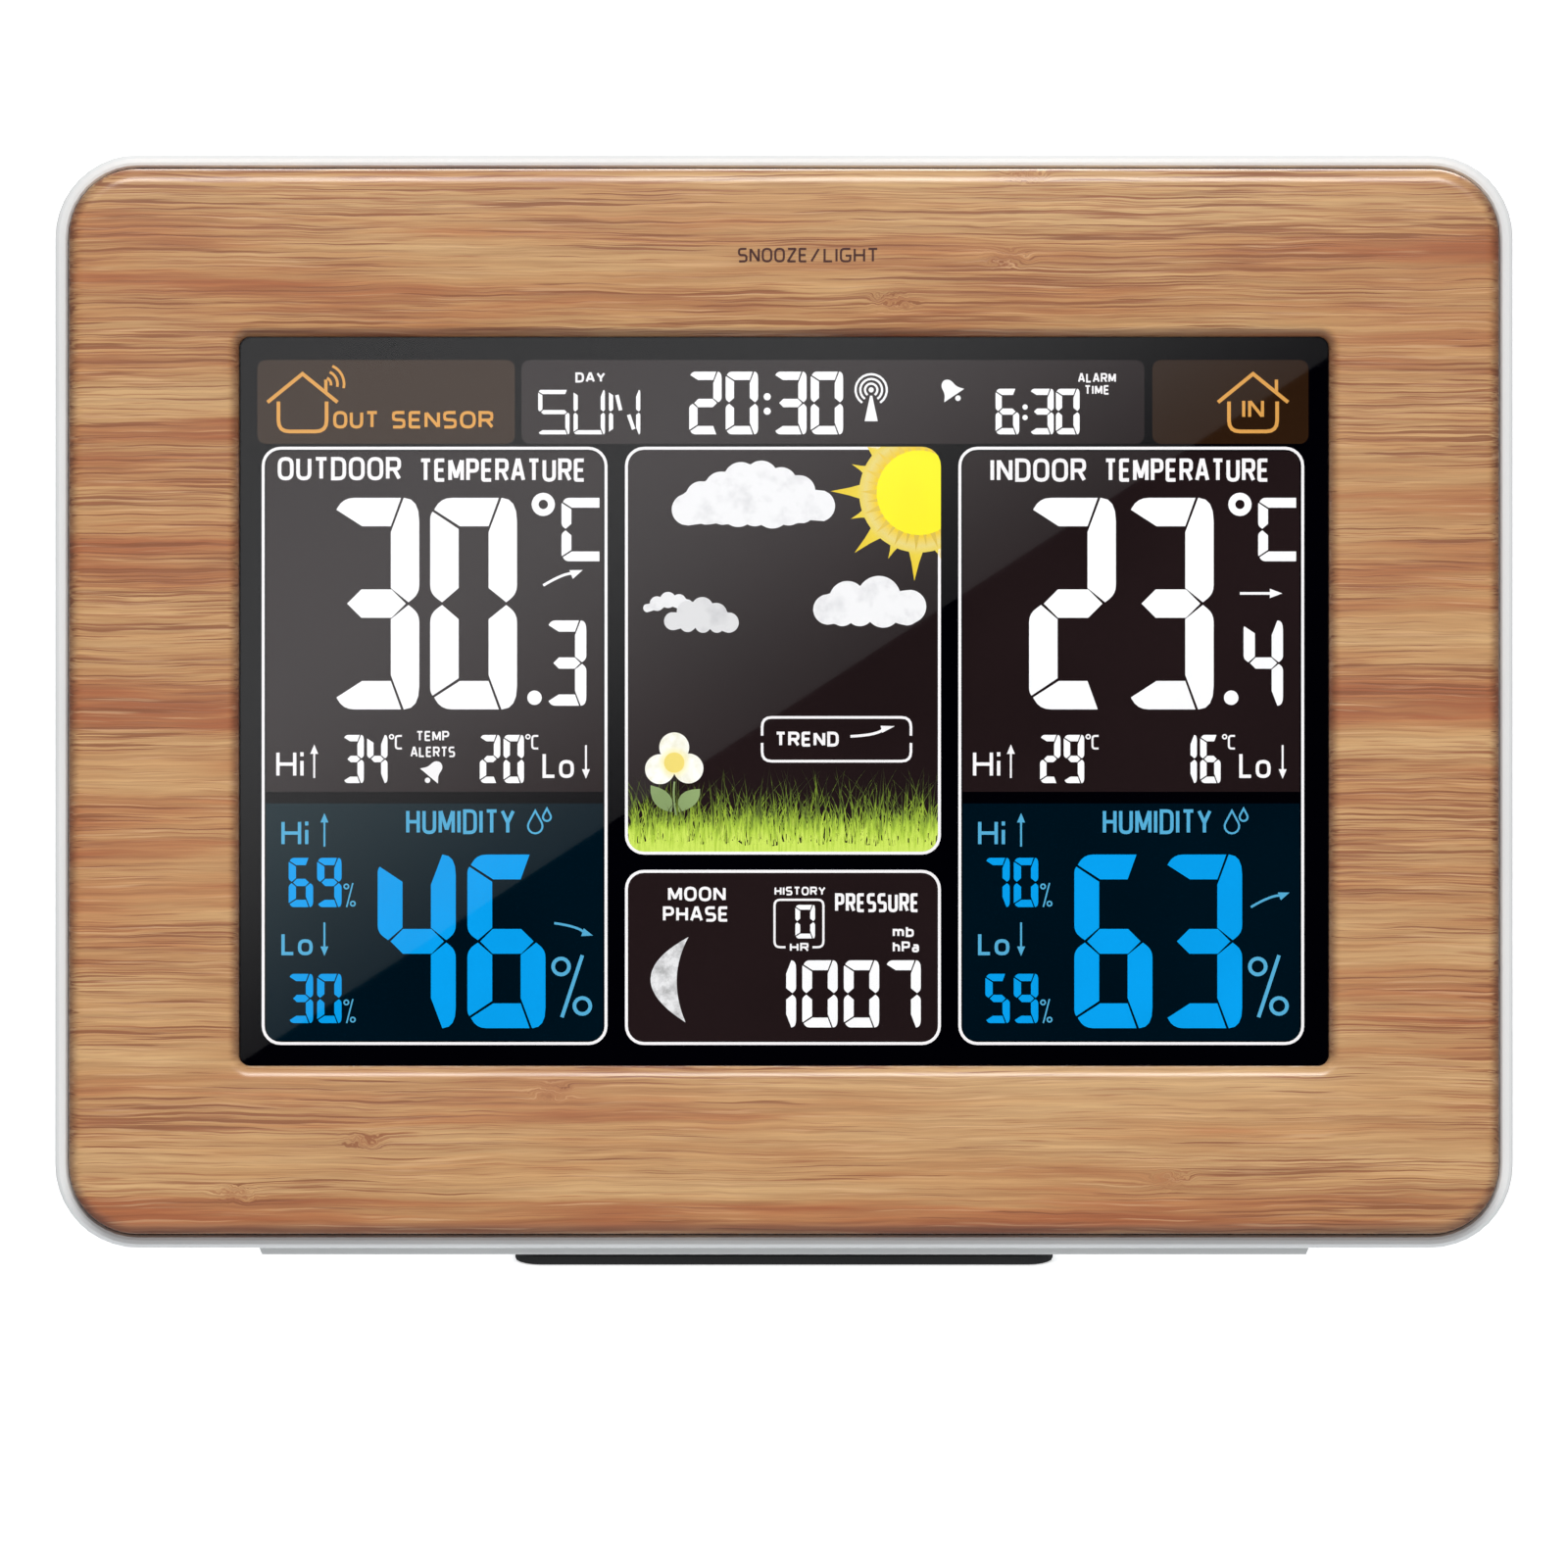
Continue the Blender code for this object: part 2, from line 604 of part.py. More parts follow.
def make_display():
    """Lens, LCD, the carrier that holds them, and the backlight."""
    outline = rounded_rectangle(WINDOW[0] + 4 * MM, WINDOW[1] + 4 * MM, 1.0 * MM, steps=3)
    clad(slab("window_lens", outline, LENS_FRONT, LENS_FRONT + LENS_THICK), "lens")

    half = 75.2 * MM
    bottom = 24.7 * MM
    top = 125.5 * MM
    ledge = 2.6 * MM  # the strip of the front glass that carries the contacts
    lcd = box("lcd_panel", (-half, LCD_FRONT, bottom), (half, LCD_FRONT + 1.3 * MM, top))
    inset = 0.4 * MM
    low = (inset - half, LCD_FRONT + MM, bottom + inset)
    rear_glass = box("rear_glass", low, (half - inset, LCD_BACK, top - ledge))
    clad(add(lcd, rear_glass), "lcd_glass")

    outer = rounded_rectangle(153.2 * MM, 103.6 * MM, 1.0 * MM, steps=2)
    carrier = slab("lcd_carrier", outer, CARRIER_FRONT, CARRIER_BACK)
    inner = (147.6 * MM, 96 * MM)
    low = (-inner[0] / 2, 5 * MM, MIDDLE - inner[1] / 2)
    high = (inner[0] / 2, 13 * MM, MIDDLE + inner[1] / 2)
    slot = box("zebra_slot", (-66 * MM, 5 * MM, 123.5 * MM), (66 * MM, 13 * MM, 125.5 * MM))
    clad(cut(carrier, box("carrier_hollow", low, high), slot), "black_abs")

    guide_back = 10.0 * MM
    low = (-71.6 * MM, CARRIER_FRONT, MIDDLE - 47.6 * MM)
    clad(box("light_guide", low, (73.4 * MM, guide_back, MIDDLE + 47.6 * MM)), "light_guide")
    low = (-73.4 * MM, guide_back + GAP, MIDDLE - 47.6 * MM)
    high = (73.4 * MM, guide_back + GAP + 0.2 * MM, MIDDLE + 47.6 * MM)
    clad(box("reflector_sheet", low, high), "white_film")
    low = (-73.5 * MM, CARRIER_FRONT, MIDDLE - 43 * MM)
    clad(box("led_strip", low, (-71.9 * MM, guide_back, MIDDLE + 43 * MM)), "board")
    low = (-65 * MM, 6.0 * MM, 123.9 * MM)
    clad(box("zebra_strip", low, (65 * MM, 12.2 * MM, 125.1 * MM)), "elastomer")


def make_touch_plate():
    """The touch electrode for snooze and light, behind the frame, with a tail down to the board."""
    x = 3.3 * MM
    front = FRAME_BACK + GAP
    thick = 0.3 * MM
    plate = box("touch_plate", (x - 11 * MM, front, 131.5 * MM), (x + 11 * MM, front + thick, 140.5 * MM))
    half = 2 * MM
    drop = box("touch_drop", (x - half, front, 127.2 * MM), (x + half, front + thick, 132.5 * MM))
    back = box("touch_back", (x - half, front, 127.2 * MM), (x + half, 12.2 * MM, 127.6 * MM))
    down = box("touch_down", (x - half, 11.9 * MM, 125.5 * MM), (x + half, 12.2 * MM, 127.6 * MM))
    clad(add(plate, drop, back, down), "copper")


# ---- board ---------------------------------------------------------------------------------------


def make_board():
    outline = rounded_rectangle(*BOARD, 2 * MM, centre=(0, BOARD_MIDDLE), steps=2)
    board = slab("main_board", outline, BOARD_FRONT, BOARD_BACK)
    for i, (x, z) in enumerate(corners(*BOARD_SCREW, BOARD_MIDDLE)):
        front = (x, BOARD_FRONT - MM, z)
        hole = rod(f"board_hole_{i}", front, (x, BOARD_BACK + MM, z), BOARD_SCREW_SHAFT + 0.4 * MM, 10)
        cut(board, hole)
        seat = BOARD_FRONT - GAP
        screw = rod(f"board_screw_{i + 1}", (x, seat - 0.8 * MM, z), (x, seat, z), BOARD_SCREW_HEAD, 12)
        tip = (x, CASE_INSIDE - 0.7 * MM, z)
        shaft = rod(f"board_screw_shaft_{i}", (x, seat - 0.4 * MM, z), tip, BOARD_SCREW_SHAFT, 8)
        clad(add(screw, shaft), "steel")
    clad(board, "board")


def on_board(name, x, z, width, height, thick, material):
    """A flat component on the back of the board."""
    low = (x - width / 2, ON_BOARD, z - height / 2)
    return clad(box(name, low, (x + width / 2, ON_BOARD + thick, z + height / 2)), material)


def make_components():
    on_board("driver_chip", -20 * MM, 84 * MM, 14 * MM, 14 * MM, 1.2 * MM, "chip")
    pressure = on_board("pressure_sensor", 10 * MM, 84 * MM, 5 * MM, 4 * MM, 1.6 * MM, "steel")
    top = ON_BOARD + 1.6 * MM
    port = (10 * MM, 84 * MM)
    start = (port[0], top - MM, port[1])
    cut(pressure, rod("pressure_port", start, (port[0], top + MM, port[1]), 0.5 * MM, 8))

    climate = on_board("climate_sensor", *VENT, 7 * MM, 6 * MM, 2.4 * MM, "white_abs")
    top = ON_BOARD + 2.4 * MM
    for i in range(-1, 2):
        low = (VENT[0] - 2.2 * MM, top - MM, VENT[1] + i * 1.6 * MM - 0.4 * MM)
        cut(climate, box(f"climate_slot_{i}", low, (VENT[0] + 2.2 * MM, top + MM, low[2] + 0.8 * MM)))

    radio = on_board("radio_module", -18 * MM, 108 * MM, 24 * MM, 15 * MM, 0.8 * MM, "board")
    can_low = (-27 * MM, ON_BOARD + 0.4 * MM, 103.5 * MM)
    add(radio, box("radio_can", can_low, (-11 * MM, ON_BOARD + 2.6 * MM, 113.5 * MM)))
    turns = 6
    per_turn = 9
    coil = []
    for i in range(turns * per_turn + 1):
        angle = 2 * math.pi * i / per_turn
        x = -4 * MM + 18 * MM * i / (turns * per_turn)
        coil.append((x, 16.2 * MM + 1.3 * MM * math.cos(angle), 118.5 * MM + 1.3 * MM * math.sin(angle)))
    tube("radio_antenna", coil, 0.3 * MM, "copper", bevel_resolution=1)

    depth = ON_BOARD + 1.1 * MM
    start = (-3 * MM, depth, 66 * MM)
    clad(rod("crystal_can", start, (3 * MM, depth, 66 * MM), 1.1 * MM, 12), "steel")
    start = (BUZZER[0], ON_BOARD, BUZZER[1])
    buzzer = rod("buzzer", start, (BUZZER[0], ON_BOARD + 3 * MM, BUZZER[1]), 6 * MM, 20)
    mouth = (BUZZER[0], ON_BOARD + 2 * MM, BUZZER[1])
    cut(buzzer, rod("buzzer_mouth", mouth, (BUZZER[0], ON_BOARD + 4 * MM, BUZZER[1]), 1 * MM, 10))
    clad(buzzer, "black_abs")


def make_clock_antenna():
    """The ferrite rod that receives the time signal, with its winding."""
    depth = 13 * MM
    height = 13.5 * MM
    radius = 3.2 * MM
    core = rod("ferrite_rod", (47.5 * MM, depth, height), (81.5 * MM, depth, height), radius, 14)
    clad(core, "ferrite")
    coil = rod("antenna_coil", (58 * MM, depth, height), (71 * MM, depth, height), 4.3 * MM, 18)
    bore = rod("coil_bore", (56 * MM, depth, height), (73 * MM, depth, height), radius + GAP, 18)
    clad(cut(coil, bore), "copper")


def make_power_jack():
    """A round socket facing the back, with its centre pin."""
    x, z = JACK
    half = 4.2 * MM
    jack = box("power_jack", (x - half, ON_BOARD, z - half), (x + half, 17.6 * MM, z + half))
    mouth = CASE_BACK - 0.4 * MM
    barrel = rod("jack_barrel", (x, 16.8 * MM, z), (x, mouth, z), 3.2 * MM, 20)
    bore = rod("jack_bore", (x, 15.4 * MM, z), (x, mouth + MM, z), 1.9 * MM, 14)
    pin = rod("jack_pin", (x, 15.0 * MM, z), (x, mouth - 0.8 * MM, z), 0.55 * MM, 8)
    add(jack, barrel)
    cut(jack, bore)
    clad(add(jack, pin), "black_abs")


# ---- batteries -----------------------------------------------------------------------------------


def make_cell(number, z, side):
    """One AAA cell lying across the bay, with its plus end towards that side."""
    nub = 1.9 * MM
    body = CELL_LENGTH - 0.8 * MM
    crimp = 0.5 * MM
    profile = [(0, CELL_LENGTH), (nub, CELL_LENGTH), (nub, body), (CELL_RADIUS - crimp, body)]
    profile += [(CELL_RADIUS, body - crimp), (CELL_RADIUS, crimp), (CELL_RADIUS - crimp, 0), (0, 0)]
    cell = turned(f"battery_cell_{number}", profile, "cell_wrap")
    plus_end = BAY[0] / 2 - 3 * GAP - 0.1 * MM
    cell.location = (side * (plus_end - CELL_LENGTH), CELL_DEPTH, z)
    cell.rotation_euler.y = side * math.pi / 2

    wall = BAY[0] / 2 - GAP
    half = 3.8 * MM
    xs = sorted((side * (wall - 0.3 * MM), side * wall))
    low = (xs[0], CELL_DEPTH - half, z - half)
    clad(box(f"battery_plate_{number}", low, (xs[1], CELL_DEPTH + half, z + half)), "steel")

    turns = 3
    per_turn = 9
    radii = (3.4 * MM, 1.8 * MM)
    wire = 0.35 * MM
    start = wall - wire
    reach = CELL_LENGTH - plus_end + GAP + wire
    points = []
    for i in range(turns * per_turn + 1):
        share = i / (turns * per_turn)
        angle = 2 * math.pi * i / per_turn
        radius = radii[0] + (radii[1] - radii[0]) * share
        x = -side * (start + (reach - start) * share)
        points.append((x, CELL_DEPTH + radius * math.cos(angle), z + radius * math.sin(angle)))
    tube(f"battery_spring_{number}", points, wire, "steel", bevel_resolution=1)


def make_batteries():
    for number in (1, 2, 3):
        side = 1 if number % 2 else -1
        make_cell(number, BAY_MIDDLE + (2 - number) * CELL_PITCH, side)
    top = BAY_MIDDLE + BAY[1] / 2 + BAY_WALL
    for name, x in (("red", 21 * MM), ("black", 17 * MM)):
        route = [(x, 15.4 * MM, top + GAP + 0.2 * MM), (x, 16.4 * MM, top + 2 * MM)]
        route += [(x, 17 * MM, top + 4 * MM), (x, 16.2 * MM, top + 5.6 * MM), (x, ON_BOARD, top + 6 * MM)]
        tube(f"battery_wire_{name}", route, 0.6 * MM, f"{name}_pvc")


def make_battery_door():
    outline = rounded_rectangle(*DOOR, 1.2 * MM, centre=(0, 0), steps=3)
    door = slab("battery_door", outline, -DOOR_THICK / 2, DOOR_THICK / 2)
    depth = DOOR_BACK - DOOR_THICK / 2
    door.location = (0, depth, BAY_MIDDLE)
    tools = []
    for ridge in range(5):
        z = -12 * MM + ridge * 2.2 * MM
        low = (-10 * MM, 0, z - 0.5 * MM)
        tools.append(box(f"door_ridge_{ridge}", low, (10 * MM, DOOR_THICK / 2 + 0.4 * MM, z + 0.5 * MM)))
    latch = (6 * MM, 4 * MM)
    slit = 0.5 * MM
    edge = DOOR[1] / 2
    slits = []
    for side in (-1, 1):
        xs = sorted((side * latch[0], side * (latch[0] + slit)))
        slits.append(box(f"latch_slit_{side}", (xs[0], -MM, edge - latch[1]), (xs[1], MM, edge + MM)))
    add(door, *tools)
    cut(door, *slits)
    for tool in tools + slits:
        tool.location = door.location
    clad(door, "white_abs")


# ---- keys, screws, label and feet ----------------------------------------------------------------


def key_places():
    return [(name, KEY_LOWEST + i * KEY_PITCH) for i, name in enumerate(KEYS)]


def make_keys():
    """Each key is a cap with a flange behind the back wall, over its own switch on the board."""
    flange_front = 17.1 * MM
    flange_back = CASE_INSIDE - 0.2 * MM
    flange = (KEY_CAP[0] + 2 * MM, KEY_CAP[1] + 2 * MM, KEY_CAP[1] / 2 + 0.98 * MM)
    cap = (*KEY_CAP, KEY_CAP[1] / 2 - 0.02 * MM)
    top = CASE_BACK + KEY_PROUD
    for name, z in key_places():
        sections = [(*flange, flange_front), (*flange, flange_back), (*cap, flange_back)]
        sections += fillet(*cap, top, 0.5 * MM, turn=1, steps=2)
        sections = [(w, h, r, depth - flange_front) for w, h, r, depth in sections]
        key = loft(f"key_{name}", sections, centre=(0, 0), steps=4)
        key.location = (KEY_SIDE, flange_front, z)
        clad(key, "grey_key")
        switch = on_board(f"switch_{name}", KEY_SIDE, z, 6 * MM, 6 * MM, 1.8 * MM, "chip")
        start = (KEY_SIDE, ON_BOARD + MM, z)
        add(switch, rod(f"plunger_{name}", start, (KEY_SIDE, ON_BOARD + 2.2 * MM, z), 1.6 * MM, 10))


def make_case_screws():
    for i, (x, z) in enumerate(corners(CASE_SCREW[0], MIDDLE - CASE_SCREW[1])):
        seat = CASE_SCREW_SEAT + GAP
        top = seat + 1.8 * MM
        head = rod(f"case_screw_{i + 1}", (x, seat, z), (x, top, z), CASE_SCREW_HEAD)
        tip = (x, CASE_SCREW_TIP, z)
        shaft = rod(f"case_screw_shaft_{i}", tip, (x, seat + 0.5 * MM, z), CASE_SCREW_SHAFT, 10)
        add(head, shaft)
        for name, wide, tall in (("across", 3.2 * MM, 0.7 * MM), ("up", 0.7 * MM, 3.2 * MM)):
            low = (x - wide / 2, top - 0.8 * MM, z - tall / 2)
            cut(head, box(f"recess_{name}_{i}", low, (x + wide / 2, top + PAST, z + tall / 2)))
        clad(head, "steel")


def make_label():
    outline = rounded_rectangle(*LABEL_SIZE, 1.2 * MM, centre=LABEL, steps=3)
    clad(slab("rating_label", outline, CASE_BACK - 0.2 * MM, CASE_BACK), "label")


def make_base_foot():
    """The rubber strip under the plinth. It lies flat on the desk, so it isn't leant."""
    outline = rounded_rectangle(BASE_FOOT[0], BASE_FOOT[1], 3.5 * MM, centre=(0, 0), steps=5)
    foot = slab("base_foot", outline, -FOOT_THICK / 2, FOOT_THICK / 2)
    foot.parent = None
    foot.rotation_euler.x = math.pi / 2
    foot.location.z = FOOT_THICK / 2
    clad(foot, "rubber")


# ---- stand ---------------------------------------------------------------------------------------


def hinge_height():
    """Height of the stand's hinge over the desk."""
    up = STAND_HINGE - desk_point()
    return up.z * math.cos(LEAN) - up.y * math.sin(LEAN)


def stand_length():
    """From the stand's hinge to the desk, along the opened stand."""
    return hinge_height() / math.cos(STAND_OPEN - LEAN)


def make_stand():
    """The folding U, modelled hanging straight down from its hinge and then opened about it."""
    hinge = bpy.data.objects.new("stand_hinge", None)
    bpy.context.scene.collection.objects.link(hinge)
    hinge.parent = bpy.data.objects["lean"]
    hinge.location = STAND_HINGE
    hinge.rotation_euler.x = STAND_OPEN

    splay = STAND_OPEN - LEAN  # the stand's slope from the vertical
    length = stand_length()
    half = STAND_THICK / 2
    outline = rounded_rectangle(STAND_OUTER, 2 * length, 5 * MM, centre=(0, 0), steps=5)
    outline = [(x, z) for x, z in outline if z < 0]
    outline = [(STAND_OUTER / 2, 0), (-STAND_OUTER / 2, 0)] + outline
    stand = slab("stand", outline, -half, half)
    inner = STAND_OUTER - 2 * STAND_ARM
    tall = 2 * (length - STAND_BAR)
    gap = rounded_rectangle(inner, tall, STAND_CORNER, centre=(0, 0), steps=4)
    hollow = slab("stand_hollow", gap, -2 * half, 2 * half)
    cut(stand, hollow)
    for side in (-1, 1):
        ends = sorted((side * STAND_OUTER / 2, side * (STAND_OUTER / 2 - STAND_ARM)))
        knuckle = rod(f"knuckle_{side}", (ends[0], 0, 0), (ends[1], 0, 0), half, 20)
        bore = rod(f"knuckle_bore_{side}", (ends[0] - MM, 0, 0), (ends[1] + MM, 0, 0), PIN_HOLE, 12)
        add(stand, knuckle)
        cut(stand, bore)
        knuckle.parent = hinge
        bore.parent = hinge
    trim = box("stand_trim", (-50 * MM, -20 * MM, -12 * MM), (50 * MM, 20 * MM, 0))
    trim.rotation_euler.x = -splay
    trim.location.z = -(hinge_height() - SOLE_THICK - GAP) / math.cos(splay)
    cut(stand, trim)
    for obj in (stand, hollow, trim):
        obj.parent = hinge
    clad(stand, "white_abs")

    outline = rounded_rectangle(64 * MM, 3.4 * MM, 1.4 * MM, centre=(0, 0), steps=3)
    foot = slab("stand_foot", outline, -SOLE_THICK / 2, SOLE_THICK / 2)
    foot.parent = hinge
    foot.rotation_euler.x = math.pi / 2 - splay
    foot.location.z = -(hinge_height() - SOLE_THICK / 2) / math.cos(splay)
    clad(foot, "rubber")


def make_hinge_pins():
    outer = STAND_OUTER / 2 + PIN_REACH
    inner = STAND_OUTER / 2 - STAND_ARM - PIN_REACH
    for name, side in (("left", -1), ("right", 1)):
        ends = sorted((side * outer, side * inner))
        start = STAND_HINGE + Vector((ends[0], 0, 0))
        end = STAND_HINGE + Vector((ends[1], 0, 0))
        clad(rod(f"hinge_pin_{name}", start, end, PIN_RADIUS, 12), "steel")


clear_scene()
STATION = new_collection("weather_station")
CUTTERS = new_collection("cutters")
make_lean()
make_rear_case()
make_front_frame()
make_display()
make_touch_plate()
make_board()
make_components()
make_clock_antenna()
make_power_jack()
make_batteries()
make_battery_door()
make_keys()
make_case_screws()
make_label()
make_base_foot()
make_stand()
make_hinge_pins()
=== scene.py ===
"""Looks of the home weather station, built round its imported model.

Pieces are drawn in the display's own axes, in millimetres: x to the right, y back from the
frame's face and z up from the display's centre. DISPLAY places those axes in the model's frame,
and piece() turns millimetres into metres. The model gives every size that a piece has to match.
"""

import json
import math
import random

import bmesh
import bpy
from mathutils import Matrix, Vector


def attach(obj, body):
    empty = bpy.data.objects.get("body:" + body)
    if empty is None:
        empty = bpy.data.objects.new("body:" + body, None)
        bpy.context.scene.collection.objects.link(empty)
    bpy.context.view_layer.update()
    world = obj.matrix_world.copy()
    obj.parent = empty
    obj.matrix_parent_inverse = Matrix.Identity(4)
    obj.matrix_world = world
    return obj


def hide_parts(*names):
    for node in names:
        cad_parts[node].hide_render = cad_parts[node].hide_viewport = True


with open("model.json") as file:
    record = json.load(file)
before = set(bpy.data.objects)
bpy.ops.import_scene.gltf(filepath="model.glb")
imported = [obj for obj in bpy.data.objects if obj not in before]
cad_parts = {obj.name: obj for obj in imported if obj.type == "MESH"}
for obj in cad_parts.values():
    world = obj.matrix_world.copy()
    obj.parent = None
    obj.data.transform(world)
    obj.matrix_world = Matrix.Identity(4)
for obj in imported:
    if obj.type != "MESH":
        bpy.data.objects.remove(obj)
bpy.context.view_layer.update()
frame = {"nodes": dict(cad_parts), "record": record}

MM = 0.001
RECORD = frame["record"]
BODY_OF = {node: body for body, nodes in RECORD["behaviour"]["bodies"].items() for node in nodes}
SLOT_OF = {part["node"]: part["material_slot"] for part in RECORD["subparts"]}


# ---- the station's axes ----


def span(node, axes):
    """Lowest and highest corner of a CAD node, in metres along those axes."""
    inverse = axes.inverted()
    points = [inverse @ vertex.co for vertex in frame["nodes"][node].data.vertices]
    low = Vector([min(point[i] for point in points) for i in range(3)])
    high = Vector([max(point[i] for point in points) for i in range(3)])
    return low, high


def leaning_axes():
    """The case's own directions: its back faces along the record's wall mount."""
    back = next(mount["axis"] for mount in RECORD["mounts"] if mount["name"] == "wall_face")
    return Matrix.Rotation(math.atan2(back[2], back[1]), 4, "X")


def display_axes():
    lean = leaning_axes()
    low, high = span("front_frame", lean)
    return lean @ Matrix.Translation((0, low.y, (low.z + high.z) / 2))


DISPLAY = display_axes()


def box_of(node):
    """A CAD node's lowest and highest corner in the display's axes, in millimetres."""
    low, high = span(node, DISPLAY)
    return low / MM, high / MM


# ---- pieces ----


def linked(name, data):
    obj = bpy.data.objects.new(name, data)
    bpy.context.scene.collection.objects.link(obj)
    return obj


def placed(name, bm, matrix):
    """An object whose mesh holds its place, as the CAD nodes' meshes do."""
    bmesh.ops.transform(bm, matrix=matrix, verts=bm.verts)
    mesh = bpy.data.meshes.new(name)
    bm.to_mesh(mesh)
    bm.free()
    return linked(name, mesh)


WELD = 0.002  # vertices of a CAD mesh that are closer than this are one
FLAT = 0.8  # degrees between triangles that are one flat face
SHARP = 32  # degrees across an edge that isn't shaded smooth
ROUNDED = 38  # degrees across an edge that a mould rounds over


def piece(name, bm, material, body="case", replaces=(), sharp=SHARP):
    """An object from a mesh in the display's axes and millimetres, riding on a body."""
    bmesh.ops.recalc_face_normals(bm, faces=bm.faces)
    obj = placed(name, bm, DISPLAY @ Matrix.Scale(MM, 4))
    obj.data.materials.append(material)
    if sharp:
        obj.data.shade_smooth()
        obj.data.set_sharp_from_angle(angle=math.radians(sharp))
    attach(obj, body)
    if replaces:
        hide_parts(*replaces)
    return obj


def cad_mesh(node):
    """A CAD node's faces in the display's axes and millimetres, without the triangles' inner edges."""
    bm = bmesh.new()
    bm.from_mesh(frame["nodes"][node].data)
    bmesh.ops.transform(bm, matrix=Matrix.Scale(1 / MM, 4) @ DISPLAY.inverted(), verts=bm.verts)
    bmesh.ops.remove_doubles(bm, verts=bm.verts, dist=WELD)
    bmesh.ops.dissolve_limit(bm, angle_limit=math.radians(FLAT), verts=bm.verts, edges=bm.edges)
    return bm


def moulding(name, node, material, edge, segments=2):
    """A CAD node with its edges rounded over, as a mould leaves them."""
    obj = piece(name, cad_mesh(node), material, BODY_OF[node], [node], sharp=0)
    bevel = obj.modifiers.new("round_edges", "BEVEL")
    bevel.width = edge * MM
    bevel.segments = segments
    bevel.limit_method = "ANGLE"
    bevel.angle_limit = math.radians(ROUNDED)
    bevel.harden_normals = True


def rounded_rectangle(width, height, radius, centre=(0, 0), steps=8):
    points = []
    for corner, (side, rise) in enumerate(((1, 1), (-1, 1), (-1, -1), (1, -1))):
        x = centre[0] + side * (width / 2 - radius)
        z = centre[1] + rise * (height / 2 - radius)
        points += arc((x, z), radius, 90 * corner, 90 * corner + 90, steps)
    return points


def arc(centre, radius, start, end, steps=10):
    """Points on an arc between two angles in degrees, counted from +x towards +z."""
    points = []
    for step in range(steps + 1):
        angle = math.radians(start + (end - start) * step / steps)
        points.append((centre[0] + radius * math.cos(angle), centre[1] + radius * math.sin(angle)))
    return points


def curved(start, middle, end, steps=8):
    """Points on a smooth bow that passes through the middle point."""
    points = []
    for step in range(steps + 1):
        t = step / steps
        a = 2 * (t - 0.5) * (t - 1)
        b = 4 * t * (1 - t)
        c = 2 * t * (t - 0.5)
        points.append(tuple(a * p + b * q + c * r for p, q, r in zip(start, middle, end)))
    return points


def softened(corners, steps=4):
    """An outline of corners (x, z). A corner (x, z, r) is rounded, from r before it to r after it."""
    points = []
    for i, (x, z, *r) in enumerate(corners):
        if not any(r):
            points.append((x, z))
            continue
        here = Vector((x, z))
        before = here - Vector(corners[i - 1][:2])
        after = Vector(corners[(i + 1) % len(corners)][:2]) - here
        start = here - before.normalized() * min(r[0], 0.95 * before.length)
        end = here + after.normalized() * min(r[0], 0.95 * after.length)
        for step in range(steps + 1):
            t = step / steps
            points.append(tuple(start * (1 - t) ** 2 + here * 2 * t * (1 - t) + end * t * t))
    return [point for i, point in enumerate(points) if math.dist(point, points[i - 1]) > 1e-3]


def clipped(outline, window):
    """The part of an outline that lies inside a convex window given anticlockwise."""
    for i, corner in enumerate(window):
        start = Vector(window[i - 1])
        edge = Vector(corner) - start
        kept = []
        for j, point in enumerate(outline):
            before = Vector(outline[j - 1])
            here = Vector(point)
            side_before = edge.cross(before - start)
            side_here = edge.cross(here - start)
            if (side_before < 0) != (side_here < 0):
                share = side_before / (side_before - side_here)
                kept.append(tuple(before.lerp(here, share)))
            if side_here >= 0:
                kept.append(point)
        outline = kept
        if len(outline) < 3:
            return []
    return outline


